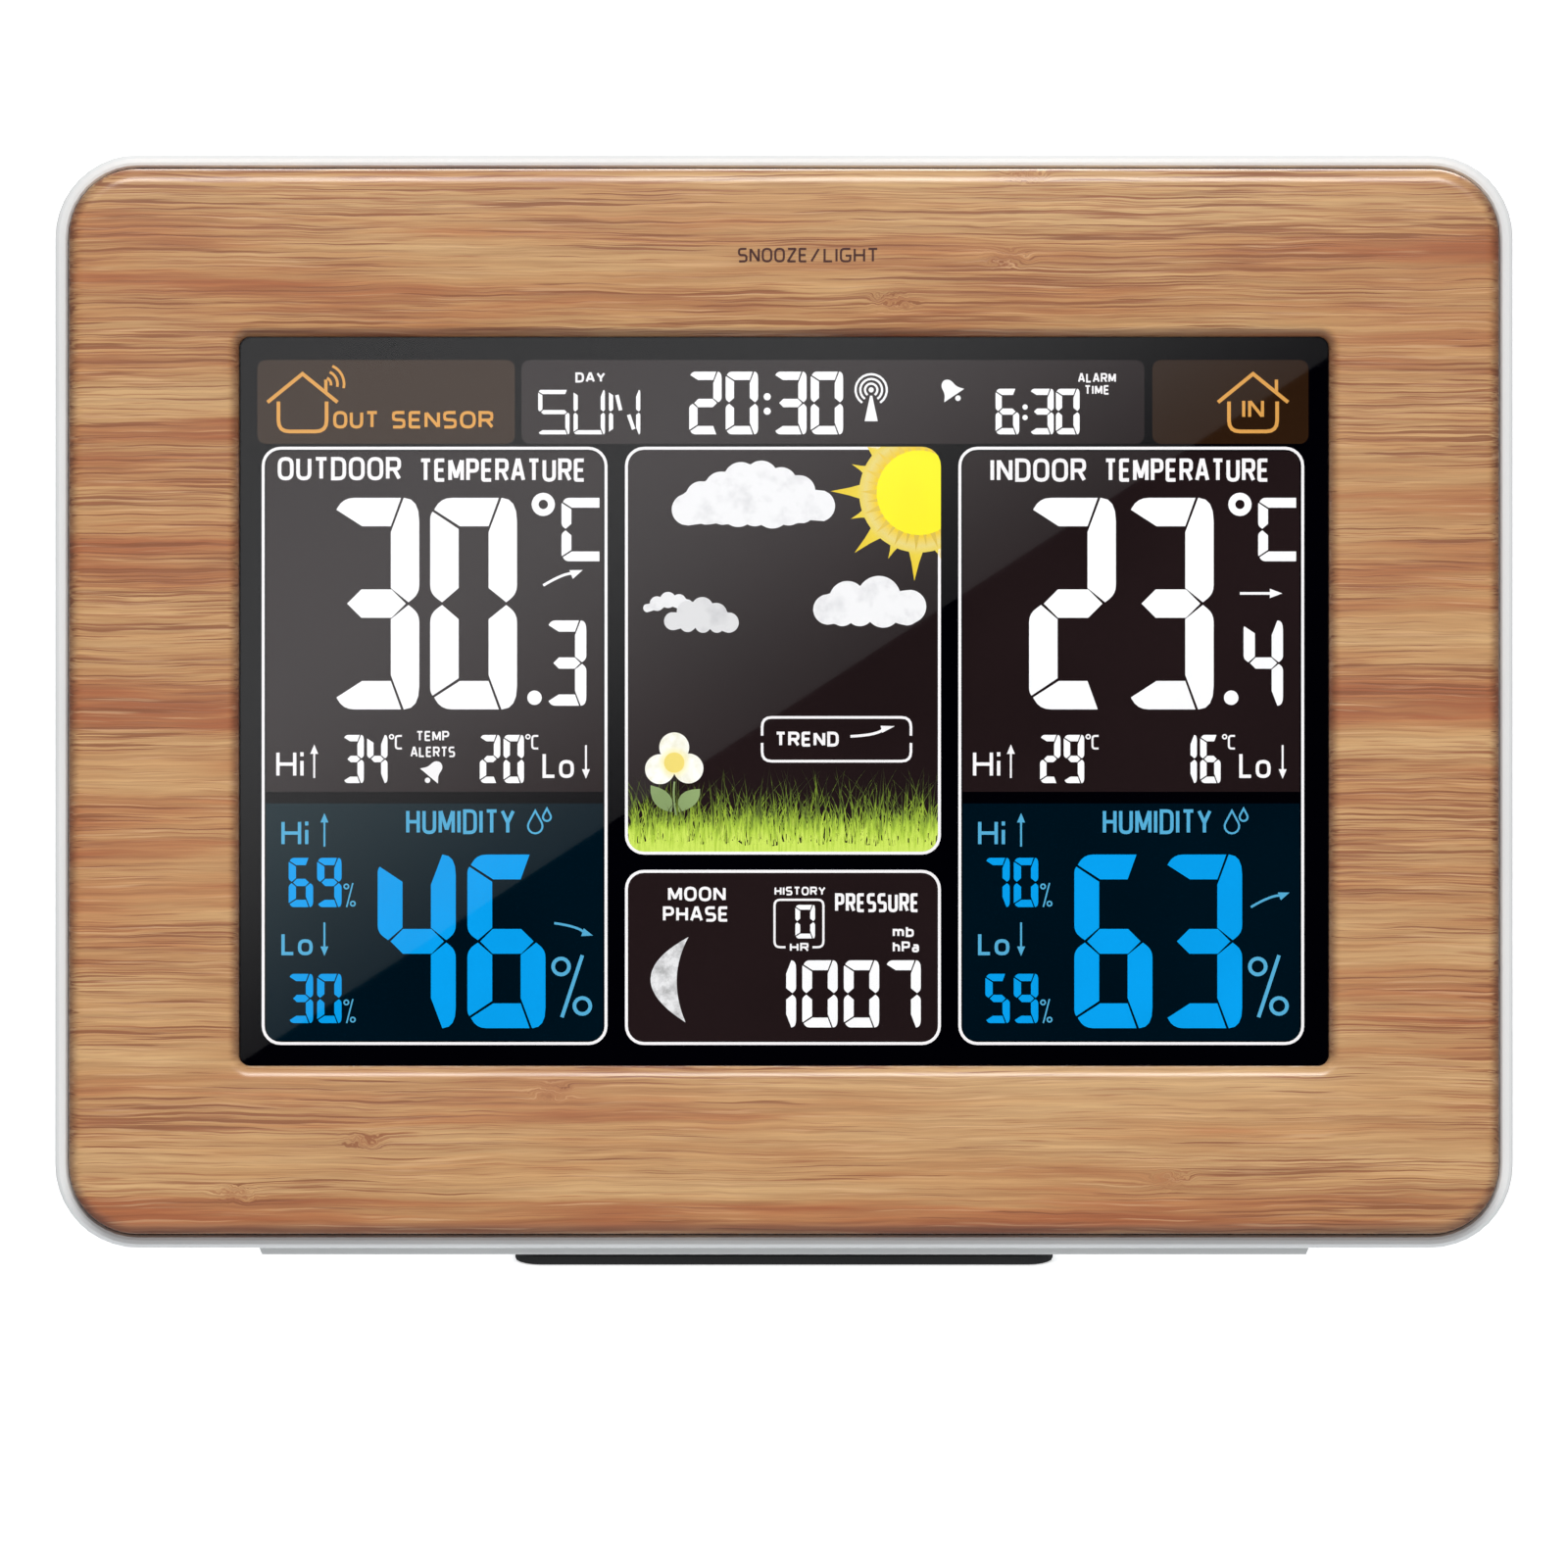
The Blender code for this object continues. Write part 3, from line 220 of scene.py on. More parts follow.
class Print:
    """One layer of flat, closed shapes, such as lit segments, drawn in (x, z) millimetres.

    Side -1 is read from behind: x is to the reader's right, and thick is below zero.
    """

    def __init__(self, depth, thick=0.025, side=1):
        self.bm = bmesh.new()
        self.depth = depth
        self.thick = thick
        self.side = side
        self.shift = 0.0

    def corner(self, point, depth):
        return self.bm.verts.new((self.side * point[0] + self.shift, depth, point[1]))

    def area(self, outline, rise=0.0):
        """A filled outline. rise brings it forward, so that shapes which overlap don't coincide."""
        if len(outline) < 3:
            return
        fronts = [self.corner(point, self.depth - self.thick - rise) for point in outline]
        backs = [self.corner(point, self.depth) for point in outline]
        self.bm.faces.new(fronts)
        self.bm.faces.new(backs[::-1])
        for i in range(len(outline)):
            self.bm.faces.new((fronts[i - 1], backs[i - 1], backs[i], fronts[i]))

    def band(self, left, right, closed=False):
        """The strip between two rails with the same number of points."""
        rails = []
        for rail, depth in ((left, 0), (right, 0), (right, self.thick), (left, self.thick)):
            rails.append([self.corner(point, self.depth - self.thick + depth) for point in rail])
        for i in range(0 if closed else 1, len(left)):
            for side in range(4):
                here = rails[side - 1]
                there = rails[side]
                self.bm.faces.new((here[i - 1], here[i], there[i], there[i - 1]))
        if not closed:
            self.bm.faces.new([rail[0] for rail in rails])
            self.bm.faces.new([rail[-1] for rail in rails])

    def line(self, points, width, closed=False):
        """A stroke along the points, with mitred corners."""
        points = [Vector(point) for point in points]
        last = len(points) - 1
        left = []
        right = []
        for i, point in enumerate(points):
            before = points[i - 1] if i or closed else None
            after = points[(i + 1) % len(points)] if i < last or closed else None
            into = (point - before).normalized() if before else (after - point).normalized()
            out = (after - point).normalized() if after else into
            across = Vector((-into.y - out.y, into.x + out.x)).normalized()
            mitre = max(0.35, across.dot(Vector((-into.y, into.x))))
            left.append(point + across * width / 2 / mitre)
            right.append(point - across * width / 2 / mitre)
        self.band(left, right, closed)

    def dot(self, centre, radius, steps=16):
        self.area(arc(centre, radius, 0, 360 - 360 / steps, steps - 1))

    def ring(self, centre, radius, width, steps=20):
        self.line(arc(centre, radius, 0, 360 - 360 / steps, steps - 1), width, closed=True)

    def arrow(self, start, end, head=1.3, width=0.3, bow=0.0, slim=0.38):
        """A thin arrow, bowed sideways by bow at its middle."""
        start = Vector(start)
        end = Vector(end)
        along = (end - start).normalized()
        across = Vector((-along.y, along.x))
        middle = (start + end) / 2 + across * bow
        tail = end - along * head * 0.8
        if bow:
            self.line(curved(start, middle, tail), width)
        else:
            self.line([start, tail], width)
        base = end - along * head
        self.area([tuple(end), tuple(base + across * head * slim), tuple(base - across * head * slim)])

    def caption(self, text, left, right, bottom, top, stroke):
        """Letters drawn with strokes of one width, spread to fill a box."""
        height = top - bottom - stroke
        widths = [STROKES[letter][0] * height for letter in text]
        gap = LETTER_GAP * height
        room = right - left - stroke * len(text)
        stretch = room / (sum(widths) + gap * (len(text) - 1))
        x = left + stroke / 2
        for letter, width in zip(text, widths):
            width *= stretch
            for path in STROKES[letter][1]:
                corners = []
                for u, v, *r in path:
                    spot = (x + u * width, bottom + stroke / 2 + v * height)
                    corners.append((*spot, *(share * min(width, height) for share in r)))
                closed = path[0] == path[-1]
                if closed:
                    corners.pop()
                self.line(softened(corners), stroke, closed)
            x += width + stroke + gap * stretch

    def captions(self, *rows):
        """Words, each with the left, right, bottom and top of its box and its stroke."""
        for row in rows:
            self.caption(*row)

    def digits(self, text, left, bottom, width, height, thick, pitch):
        """Seven-segment digits. A colon's two dots take a third of a digit's place."""
        x = left
        bars = segments(width, height, thick)
        for sign in text:
            if sign == ":":
                for rise in (0.37, 0.6):
                    self.dot((x + 0.14 * pitch, bottom + rise * height), 0.44 * thick, 10)
                x += 0.33 * pitch
                continue
            for bar in LIT[sign]:
                self.area([(x + u, bottom + v) for u, v in bars[bar]])
            x += pitch


LETTER_GAP = 0.14  # between letters, for a height of one

# Each letter's width for a height of one, and its strokes in a box of one by one: corners
# (across, up), or (across, up, rounding).
STROKES = {
    "A": (0.66, [[(0, 0), (0.42, 1), (0.58, 1), (1, 0)], [(0.18, 0.32), (0.82, 0.32)]]),
    "C": (0.6, [[(1, 1), (0, 1, 0.45), (0, 0, 0.45), (1, 0)]]),
    "D": (0.6, [[(0, 0), (0, 1), (1, 1, 0.5), (1, 0, 0.5), (0, 0)]]),
    "E": (0.5, [[(1, 1), (0, 1, 0.15), (0, 0, 0.15), (1, 0)], [(0, 0.5), (0.9, 0.5)]]),
    "G": (0.6, [[(1, 1), (0, 1, 0.4), (0, 0, 0.4), (1, 0, 0.3), (1, 0.46), (0.5, 0.46)]]),
    "H": (0.6, [[(0, 0), (0, 1)], [(1, 0), (1, 1)], [(0, 0.5), (1, 0.5)]]),
    "I": (0, [[(0, 0), (0, 1)]]),
    "L": (0.48, [[(0, 1), (0, 0), (1, 0)]]),
    "M": (0.74, [[(0, 0), (0, 1)], [(1, 0), (1, 1)], [(0.04, 1), (0.46, 0.2), (0.54, 0.2), (0.96, 1)]]),
    "N": (0.62, [[(0, 0), (0, 1)], [(1, 0), (1, 1)], [(0.04, 0.97), (0.96, 0.03)]]),
    "O": (0.64, [[(0, 0, 0.48), (1, 0, 0.48), (1, 1, 0.48), (0, 1, 0.48), (0, 0, 0.48)]]),
    "P": (0.56, [[(0, 0), (0, 1), (1, 1, 0.4), (1, 0.46, 0.4), (0, 0.46)]]),
    "R": (0.6, [[(0, 0), (0, 1), (1, 1, 0.35), (1, 0.48, 0.35), (0, 0.48)], [(0.55, 0.48), (1, 0)]]),
    "S": (0.56, [[(1, 1), (0, 1, 0.35), (0, 0.5, 0.35), (1, 0.5, 0.35), (1, 0, 0.35), (0, 0)]]),
    "T": (0.56, [[(0, 1), (1, 1)], [(0.5, 1), (0.5, 0)]]),
    "U": (0.6, [[(0, 1), (0, 0, 0.48), (1, 0, 0.48), (1, 1)]]),
    "Y": (0.62, [[(0, 1), (0.5, 0.45), (1, 1)], [(0.5, 0.5), (0.5, 0)]]),
    "Z": (0.58, [[(0, 1), (1, 1, 0.1), (0, 0, 0.1), (1, 0)]]),
    "a": (0.42, [[(0.1, 0.68), (1, 0.68, 0.35), (1, 0)], [(1, 0.38), (0, 0.38, 0.3), (0, 0, 0.3), (1, 0)]]),
    "b": (0.46, [[(0, 1), (0, 0), (1, 0, 0.4), (1, 0.68, 0.4), (0, 0.68)]]),
    "h": (0.44, [[(0, 0), (0, 1)], [(0, 0.68), (1, 0.68, 0.4), (1, 0)]]),
    "i": (0, [[(0, 0), (0, 0.64)], [(0, 0.84), (0, 1.02)]]),
    "m": (0.72, [[(0, 0), (0, 0.68), (0.5, 0.68, 0.25), (0.5, 0)], [(0.5, 0.68), (1, 0.68, 0.25), (1, 0)]]),
    "o": (0.54, [[(0, 0, 0.47), (1, 0, 0.47), (1, 0.66, 0.47), (0, 0.66, 0.47), (0, 0, 0.47)]]),
    "/": (0.4, [[(0, 0), (1, 1)]]),
    "+": (0.6, [[(0.5, 0.2), (0.5, 0.8)], [(0, 0.5), (1, 0.5)]]),
    "-": (0.6, [[(0, 0.5), (1, 0.5)]]),
}

# The bars of each sign: a to f clockwise from the top, and g across the middle. A and D are a and d
# with square right ends.
LIT = {
    "0": "abcdef",
    "1": "bc",
    "2": "abdeg",
    "3": "abcdg",
    "4": "bcfg",
    "5": "acdfg",
    "6": "acdefg",
    "7": "abc",
    "9": "abcdfg",
    "C": "ADef",
    "S": "acdfg",
    "U": "bcdef",
    "N": "bcef",
}


def segments(width, height, thick):
    """The outlines of a digit's seven bars, from its lower left corner."""
    half = height / 2
    side = width / thick
    gap = (0.13 + 0.06 * thick) / thick
    tip = 0.5 * gap - half / thick
    # Upper bars in bar thicknesses, from the upper left corner.
    upper = {
        "a": [(0.14, -0.42), (0.36, 0, 0.4), (side - 0.64, 0), (side - 1.0, -1), (1.04, -1)],
        "A": [(0.14, -0.42), (0.36, 0, 0.4), (side, 0), (side, -1), (1.04, -1)],
        "b": [(side - 0.64 + gap, 0), (side, -0.02, 0.8), (side, 0.3 + tip, 0.3)],
        "f": [(0.14 - 0.6 * gap, -0.42 - 0.7 * gap), (1.0, -1 - gap), (1.0, 0.5 + tip)],
    }
    upper["b"] += [(side - 0.38, tip), (side - 1, 0.5 + tip), (side - 1, -1 - 2.2 * gap)]
    upper["f"] += [(0.42, tip), (0, 0.3 + tip, 0.3), (0, -0.6, 0.15)]
    bars = {}
    for name, mirrored in ("ad", "AD", "bc", "fe"):
        outline = [(u * thick, height + v * thick) for u, v in softened(upper[name])]
        bars[name] = outline
        bars[mirrored] = [(u, height - v) for u, v in outline[::-1]]
    tips = ((0.42 + gap) * thick, width - (0.38 + gap) * thick)
    flats = (tips[0] + 0.5 * thick, tips[1] - 0.5 * thick)
    bars["g"] = [(tips[0], half), (flats[0], half + thick / 2), (flats[1], half + thick / 2)]
    bars["g"] += [(tips[1], half), (flats[1], half - thick / 2), (flats[0], half - thick / 2)]
    return bars


# ---- materials ----


def srgb(red, green, blue):
    """A colour given as 0 to 255 values on a screen, as Blender's linear colour."""
    channels = []
    for value in (red, green, blue):
        share = value / 255
        channels.append(share / 12.92 if share <= 0.04045 else ((share + 0.055) / 1.055) ** 2.4)
    return (*channels, 1.0)


class Nodes:
    """Short ways to build a node tree."""

    def __init__(self, tree):
        self.tree = tree

    def feed(self, socket, value):
        if isinstance(value, bpy.types.NodeSocket):
            self.tree.links.new(value, socket)
        else:
            socket.default_value = value

    def node(self, kind, output=0, inputs=(), **settings):
        """One output of a new node. Its kind is Blender's, without ShaderNode in front."""
        made = self.tree.nodes.new("ShaderNode" + kind)
        for name, value in settings.items():
            setattr(made, name, value)
        for name, value in dict(inputs).items():
            self.feed(made.inputs[name], value)
        return made.outputs[output]

    def show(self, shader, output="Material Output"):
        self.feed(self.tree.nodes[output].inputs["Surface"], shader)

    def display_place(self, scale=MM):
        """A point's place in the display's axes, in millimetres or in another scale."""
        axes = {"Location": DISPLAY.translation, "Rotation": DISPLAY.to_euler(), "Scale": (scale,) * 3}
        axes["Vector"] = self.node("TexCoord", "Object")
        return self.node("Mapping", 0, axes, vector_type="TEXTURE")

    def part(self, axis, vector):
        return self.node("SeparateXYZ", axis, {0: vector})

    def vector(self, operation, first, second=(0, 0, 0)):
        return self.node("VectorMath", 0, {0: first, 1: second}, operation=operation)

    def measure(self, operation, first, second=(0, 0, 0)):
        """A number worked out from vectors, such as a length."""
        return self.node("VectorMath", "Value", {0: first, 1: second}, operation=operation)

    def maths(self, operation, first, second=0.0):
        return self.node("Math", 0, {0: first, 1: second}, operation=operation)

    def plus(self, first, second):
        return self.maths("ADD", first, second)

    def minus(self, first, second):
        return self.maths("SUBTRACT", first, second)

    def times(self, first, second):
        return self.maths("MULTIPLY", first, second)

    def ramp(self, value, low, high, bottom=0.0, top=1.0):
        """value, as it goes from low to high, turned smoothly into bottom to top."""
        inputs = {"Value": value, "From Min": low, "From Max": high, "To Min": bottom, "To Max": top}
        return self.node("MapRange", 0, inputs, interpolation_type="SMOOTHSTEP")

    def colours(self, value, stops, bright=1.0):
        """A colour ramp through screen colours, given by their position."""
        made = self.tree.nodes.new("ShaderNodeValToRGB")
        elements = made.color_ramp.elements
        while len(elements) < len(stops):
            elements.new(0.5)
        for element, (position, colour) in zip(elements, stops.items()):
            element.position = position
            element.color = shade(srgb(*colour), bright)
        self.feed(made.inputs[0], value)
        return made.outputs[0]

    def mix(self, share, first, second, blend="MIX"):
        made = self.tree.nodes.new("ShaderNodeMix")
        made.data_type = "RGBA"
        made.blend_type = blend
        for number, value in ((0, share), (6, first), (7, second)):
            self.feed(made.inputs[number], value)
        return made.outputs[2]

    def mottled(self, texture, first, second):
        """The first colour where a texture is low, and the second where it is high."""
        return self.mix(self.ramp(texture, 0.3, 0.7), first, second)

    def stained(self, colour, stain, mask, low, high, share):
        """A colour under a stain, which grows to that share as the mask goes from low to high."""
        return self.mix(self.ramp(mask, low, high, 0.0, share), colour, srgb(*stain))


class Surface(Nodes):
    """A Principled material. Its place is in the display's axes, in millimetres."""

    def __init__(self, name, roughness=0.5, metallic=0.0, coat=0.0):
        self.material = bpy.data.materials.new(name)
        self.material.use_nodes = True
        super().__init__(self.material.node_tree)
        self.shader = self.tree.nodes["Principled BSDF"]
        self.set("Roughness", roughness)
        self.set("Metallic", metallic)
        self.set("Coat Weight", coat)
        self.place = self.display_place()

    def set(self, socket, value):
        self.feed(self.shader.inputs[socket], value)

    def noise(self, pitch, detail=2.0, roughness=0.5, place=None, offset=0.0):
        """Smooth noise. pitch is how many features a millimetre has, in all or along each axis."""
        if not isinstance(pitch, tuple):
            pitch = (pitch, pitch, pitch)
        stretched = self.vector("MULTIPLY", place or self.place, pitch)
        if offset:
            stretched = self.vector("ADD", stretched, (offset, 2 * offset, 3 * offset))
        inputs = {"Vector": stretched, "Scale": 1.0, "Detail": detail, "Roughness": roughness}
        return self.node("TexNoise", 0, inputs)

    def beyond(self, size, radius):
        """How far a place is outside a rounded rectangle round the display's centre, below zero inside."""
        centred = self.vector("ABSOLUTE", self.place)
        past = self.vector("SUBTRACT", centred, (size[0] / 2 - radius, 1000, size[1] / 2 - radius))
        return self.minus(self.measure("LENGTH", self.vector("MAXIMUM", past, (0, 0, 0))), radius)

    def distance(self, centre, stretch=(1, 0, 1)):
        """How far a place is from a point (x, z), seen from the front."""
        offset = self.vector("SUBTRACT", self.place, (centre[0], 0, centre[1]))
        return self.measure("LENGTH", self.vector("MULTIPLY", offset, stretch))

    def bump(self, height, strength, distance=0.05):
        """Relief from a height of 0 to 1 that stands for that many millimetres."""
        inputs = {"Height": height, "Strength": strength, "Distance": distance * MM}
        self.set("Normal", self.node("Bump", 0, inputs))


def shade(colour, share):
    return tuple(channel * share for channel in colour[:3]) + (1.0,)


# Where the stems' nodes crossed the strips, and the redder strips' heights, half widths and strengths.
NODE_MARKS = ((30.3, 60.5), (15, 54.6), (33, 72), (-31.7, -53.5), (-57.5, -60.2), (-75, -67.5), (52.5, -65.5))
RED_STRIPS = ((47, 4, 0.18), (18.5, 4, 0.2), (0.5, 5, 0.33), (-70, 3, 0.2))
# A purplish tint that paints shade onto the frame's round edges.
EDGE_SHADE_TINT = (0.6, 0.57, 0.62, 1)
FRAME_LOW, FRAME_HIGH = box_of("front_frame")
FRAME_RADIUS = 9.3
WINDOW = (149.1, 99.8)
WINDOW_RADIUS = 1.5


def grain_place(s, marks):
    """The place along the bamboo's grain, which wanders, ripples and swirls round the node marks."""
    wander = s.minus(s.noise((0.03, 0.1, 0.09), detail=3), 0.5)
    ripple = s.minus(s.noise((0.13, 0.1, 0.4), offset=2.2), 0.5)
    lift = s.plus(s.times(wander, 2.2), s.times(ripple, 0.45))
    knots = s.noise((0.35, 0.2, 0.5), detail=3, offset=3.1)
    swirl = s.times(marks, s.times(s.minus(knots, 0.45), 7.0))
    return s.vector("ADD", s.place, s.node("CombineXYZ", 0, {"Z": s.plus(lift, swirl)}))


def strip_tone(s, along):
    """How dark each laminated strip is. Redder strips run right across."""
    laid = s.vector("MULTIPLY", along, (0.0042, 0.02, 0.115))
    cells = {"Vector": laid, "Scale": 1.0, "Smoothness": 0.1}
    strip = s.node("SeparateColor", 0, {0: s.node("TexVoronoi", "Color", cells, feature="SMOOTH_F1")})
    bands = s.noise((0.014, 0.05, 0.2), detail=3, roughness=0.6, place=along)
    spread = s.times(s.minus(bands, 0.5), 2.1)
    tone = s.plus(s.times(strip, 0.34), s.plus(spread, 0.17))
    height = s.part("Z", along)
    for z, half, share in RED_STRIPS:
        far = s.maths("ABSOLUTE", s.minus(height, z))
        tone = s.plus(tone, s.ramp(far, half, 0.7 * half, 0.0, share))
    return tone


def painted_edge_shade(s):
    """Painted shade on the round edges: how much they are darkened, except where they face up, at the outer
    edge's top and the window edge's bottom.
    """
    rise = s.part("Z", s.place)
    outer = s.ramp(s.beyond(FRAME_HIGH.xz - FRAME_LOW.xz, FRAME_RADIUS), -1.7, -0.3)
    outer = s.times(outer, s.ramp(rise, FRAME_HIGH.z - 1, FRAME_HIGH.z - 5))
    inner = s.ramp(s.beyond(WINDOW, WINDOW_RADIUS), 1.6, 0.3)
    inner = s.times(inner, s.ramp(rise, -WINDOW[1] / 2, 2 - WINDOW[1] / 2))
    return s.maths("MAXIMUM", outer, inner)


def bamboo():
    """Laminated bamboo: strips, long fibres, short dark pores, pale streaks and a few node marks."""
    s = Surface("bamboo_veneer", roughness=0.42, coat=0.35)
    s.set("Coat Roughness", 0.2)
    marks = 0.0
    for centre in NODE_MARKS:
        mark = s.ramp(s.distance(centre, (0.2, 0, 0.5)), 1.0, 0.0)
        marks = s.plus(mark, marks) if marks else mark
    along = grain_place(s, marks)
    colour = s.colours(
        strip_tone(s, along),
        {
            0.0: (212, 170, 120),
            0.25: (205, 159, 109),
            0.42: (199, 149, 100),
            0.58: (192, 134, 88),
            0.82: (175, 106, 68),
        },
    )
    fibres = s.noise((0.035, 0.5, 2.2), detail=5, roughness=0.7, place=along, offset=1.3)
    streaks = s.colours(fibres, {0.3: (204, 192, 182), 0.66: (255, 255, 255)})
    colour = s.mix(0.9, colour, streaks, "MULTIPLY")

    crowd = s.noise((0.015, 0.05, 0.14), place=along, offset=5.2)
    crowd = s.ramp(crowd, 0.38, 0.66, -0.05, 0.06)
    long_pores = s.noise((0.032, 0.5, 2.4), detail=2.5, roughness=0.55, place=along, offset=9.4)
    dark = s.ramp(s.plus(long_pores, crowd), 0.585, 0.645, 0.0, 0.85)
    colour = s.mix(dark, colour, srgb(134, 80, 50))
    fine_pores = s.noise((0.08, 0.5, 4.8), place=along, offset=12.9)
    colour = s.stained(colour, (156, 98, 64), s.plus(fine_pores, crowd), 0.54, 0.66, 0.66)
    pale = s.noise((0.05, 0.5, 2.3), place=along, offset=17.0)
    colour = s.stained(colour, (226, 182, 136), pale, 0.57, 0.70, 0.38)
    colour = s.stained(colour, (160, 98, 62), marks, 0.2, 1.0, 0.32)
    # Painted shade: the round edges that don't face up take the purplish tint.
    colour = s.mix(painted_edge_shade(s), colour, s.mix(1.0, colour, EDGE_SHADE_TINT, "MULTIPLY"))

    s.set("Base Color", colour)
    s.bump(s.minus(fibres, s.times(dark, 0.6)), 0.25, 0.06)
    s.set("Roughness", s.ramp(fibres, 0.3, 0.7, 0.48, 0.36))
    return s.material


def moulded(name, colour, roughness=0.45, texture=3.0, relief=0.3, tone=0.06):
    """Moulded plastic or rubber: a fine even texture and a faint change of tone over the piece."""
    s = Surface(name, roughness=roughness)
    grain = s.noise(texture, offset=4.0)
    s.set("Base Color", s.mottled(s.noise(0.035), shade(colour, 1 - tone), shade(colour, 1 + tone / 2)))
    s.set("Roughness", s.ramp(grain, 0.25, 0.75, roughness - 0.06, roughness + 0.08))
    s.bump(grain, relief, 0.03)
    return s.material


def metal(name, colour, roughness=0.3):
    """Metal with fine drawing lines and a slightly uneven polish."""
    s = Surface(name, roughness=roughness, metallic=1.0)
    lines = s.noise((0.6, 6.0, 6.0), detail=3)
    s.set("Base Color", s.mottled(lines, shade(colour, 0.85), colour))
    s.set("Roughness", s.ramp(lines, 0.3, 0.7, roughness - 0.08, roughness + 0.12))
    s.bump(lines, 0.2, 0.02)
    return s.material


def circuit_board():
    """Green solder mask over copper tracks, which show as paler lines."""
    s = Surface("solder_mask", roughness=0.32)
    cells = s.node("TexVoronoi", "Distance", {"Vector": s.place, "Scale": 0.35}, distance="MANHATTAN")
    tracks = s.ramp(s.maths("FRACT", s.times(cells, 3.0)), 0.4, 0.5)
    s.set("Base Color", s.mix(tracks, srgb(10, 74, 40), srgb(22, 108, 60)))
    s.bump(tracks, 0.4, 0.03)
    return s.material


def wrapped_cell():
    """A battery's printed film: dark, with a copper-coloured band at one end."""
    s = Surface("cell_film", roughness=0.28, coat=0.4)
    band = s.ramp(s.part("X", s.place), 12.0, 12.4)
    base = s.mottled(s.noise(6.0), srgb(24, 60, 40), srgb(32, 76, 52))
    s.set("Base Color", s.mix(band, base, srgb(196, 128, 70)))
    s.set("Metallic", s.times(band, 0.7))
    return s.material


def blank_label():
    """Silver-grey film."""
    s = Surface("label_film", roughness=0.4)
    fleck = s.noise((8.0, 2.0, 0.8))
    s.set("Base Color", s.mottled(fleck, srgb(206, 208, 210), srgb(218, 220, 222)))
    s.bump(fleck, 0.1, 0.01)
    return s.material


def unlit(name, colour, gloss=0.0, sheen=(1, 1, 1, 1)):
    """A dark area of the LCD: the backlight's faint, uneven glow under a film that mirrors a little."""
    s = Surface(name, roughness=0.012)
    s.set("IOR", 1.05 + gloss)
    s.set("Specular Tint", sheen)
    return glowing(s, s.mottled(s.noise(0.03), shade(colour, 0.9), shade(colour, 1.1)))


def glowing(s, colour):
    """Makes a surface show a colour mostly by the backlight, and partly by reflected light."""
    s.set("Base Color", s.mix(1.0, colour, (0.3, 0.3, 0.3, 1), "MULTIPLY"))
    s.set("Emission Color", colour)
    s.set("Emission Strength", 1.0)
    return s.material


def film(name):
    """A colour filter that mirrors nothing."""
    s = Surface(name)
    s.set("Specular IOR Level", 0.0)
    return s


def lit(name, colour, uneven=0.06):
    """A lit segment: its colour filter, glowing almost evenly."""
    s = film(name)
    return glowing(s, s.mottled(s.noise(0.08), shade(colour, 1 - uneven), colour))


def cloud_print(name, bright=1.0):
    s = film(name)
    billows = s.noise(0.35, detail=4, roughness=0.6)
    return glowing(s, s.colours(billows, {0.3: (224, 224, 225), 0.5: (242, 242, 242)}, bright))


def sun_print(centre):
    """A bright disc in a paler halo."""
    s = film("sun_print")
    colour = s.colours(
        s.ramp(s.distance(centre), 0.0, 12.0),
        {
            0.0: (255, 246, 40),
            0.42: (255, 240, 35),
            0.50: (240, 205, 50),
            0.66: (232, 214, 130),
            0.80: (236, 212, 70),
            1.0: (236, 205, 50),
        },
    )
    return glowing(s, s.stained(colour, (225, 190, 60), s.noise(0.7), 0.3, 0.7, 0.12))


def grass_print(name, bottom, top, bright=1.0):
    """Yellow-green at the root and dark at the tips."""
    s = film(name)
    height = s.ramp(s.part("Z", s.place), bottom, top)
    blade = s.noise((2.6, 1.0, 0.3), detail=3, roughness=0.65)
    height = s.plus(height, s.ramp(blade, 0.25, 0.75, -0.3, 0.3))
    stops = {
        0.0: (206, 230, 98),
        0.30: (176, 206, 70),
        0.55: (132, 158, 58),
        0.80: (88, 100, 50),
        1.0: (56, 56, 40),
    }
    return glowing(s, s.colours(height, stops, bright))


def moon_print():
    s = film("moon_print")
    seas = s.noise(0.55, detail=4, roughness=0.65)
    return glowing(s, s.colours(seas, {0.35: (178, 178, 178), 0.6: (232, 232, 232)}))


def petal_print(heart):
    """Cream, with a yellow glow round the flower's heart."""
    s = film("petal_print")
    colour = s.colours(s.noise(0.8), {0.3: (240, 238, 218), 0.6: (254, 254, 246)})
    return glowing(s, s.stained(colour, (250, 236, 150), s.distance(heart), 2.5, 1.2, 0.7))


def bare_material(name):
    """A material without a shader, and its nodes."""
    material = bpy.data.materials.new(name)
    material.use_nodes = True
    tree = material.node_tree
    tree.nodes.remove(tree.nodes["Principled BSDF"])
    return material, Nodes(tree)


def clear_lens():
    """Lightly tinted acrylic with a hard, glossy coat."""
    material, n = bare_material("tinted_acrylic")
    smear = n.node("TexNoise", 0, {"Scale": 40.0})
    gloss = n.node("BsdfGlossy", 0, {"Roughness": n.ramp(smear, 0.3, 0.7, 0.004, 0.012)})
    see_through = n.node("BsdfTransparent", 0, {"Color": (0.96, 0.96, 0.965, 1)})
    slant = n.node("LayerWeight", "Facing", {"Blend": 0.5})
    head_on = 0.06  # the share that each face mirrors head on
    share = n.plus(n.times(n.maths("POWER", slant, 5.0), 0.7), head_on)
    n.show(n.node("MixShader", 0, {0: share, 1: see_through, 2: gloss}))
    return material


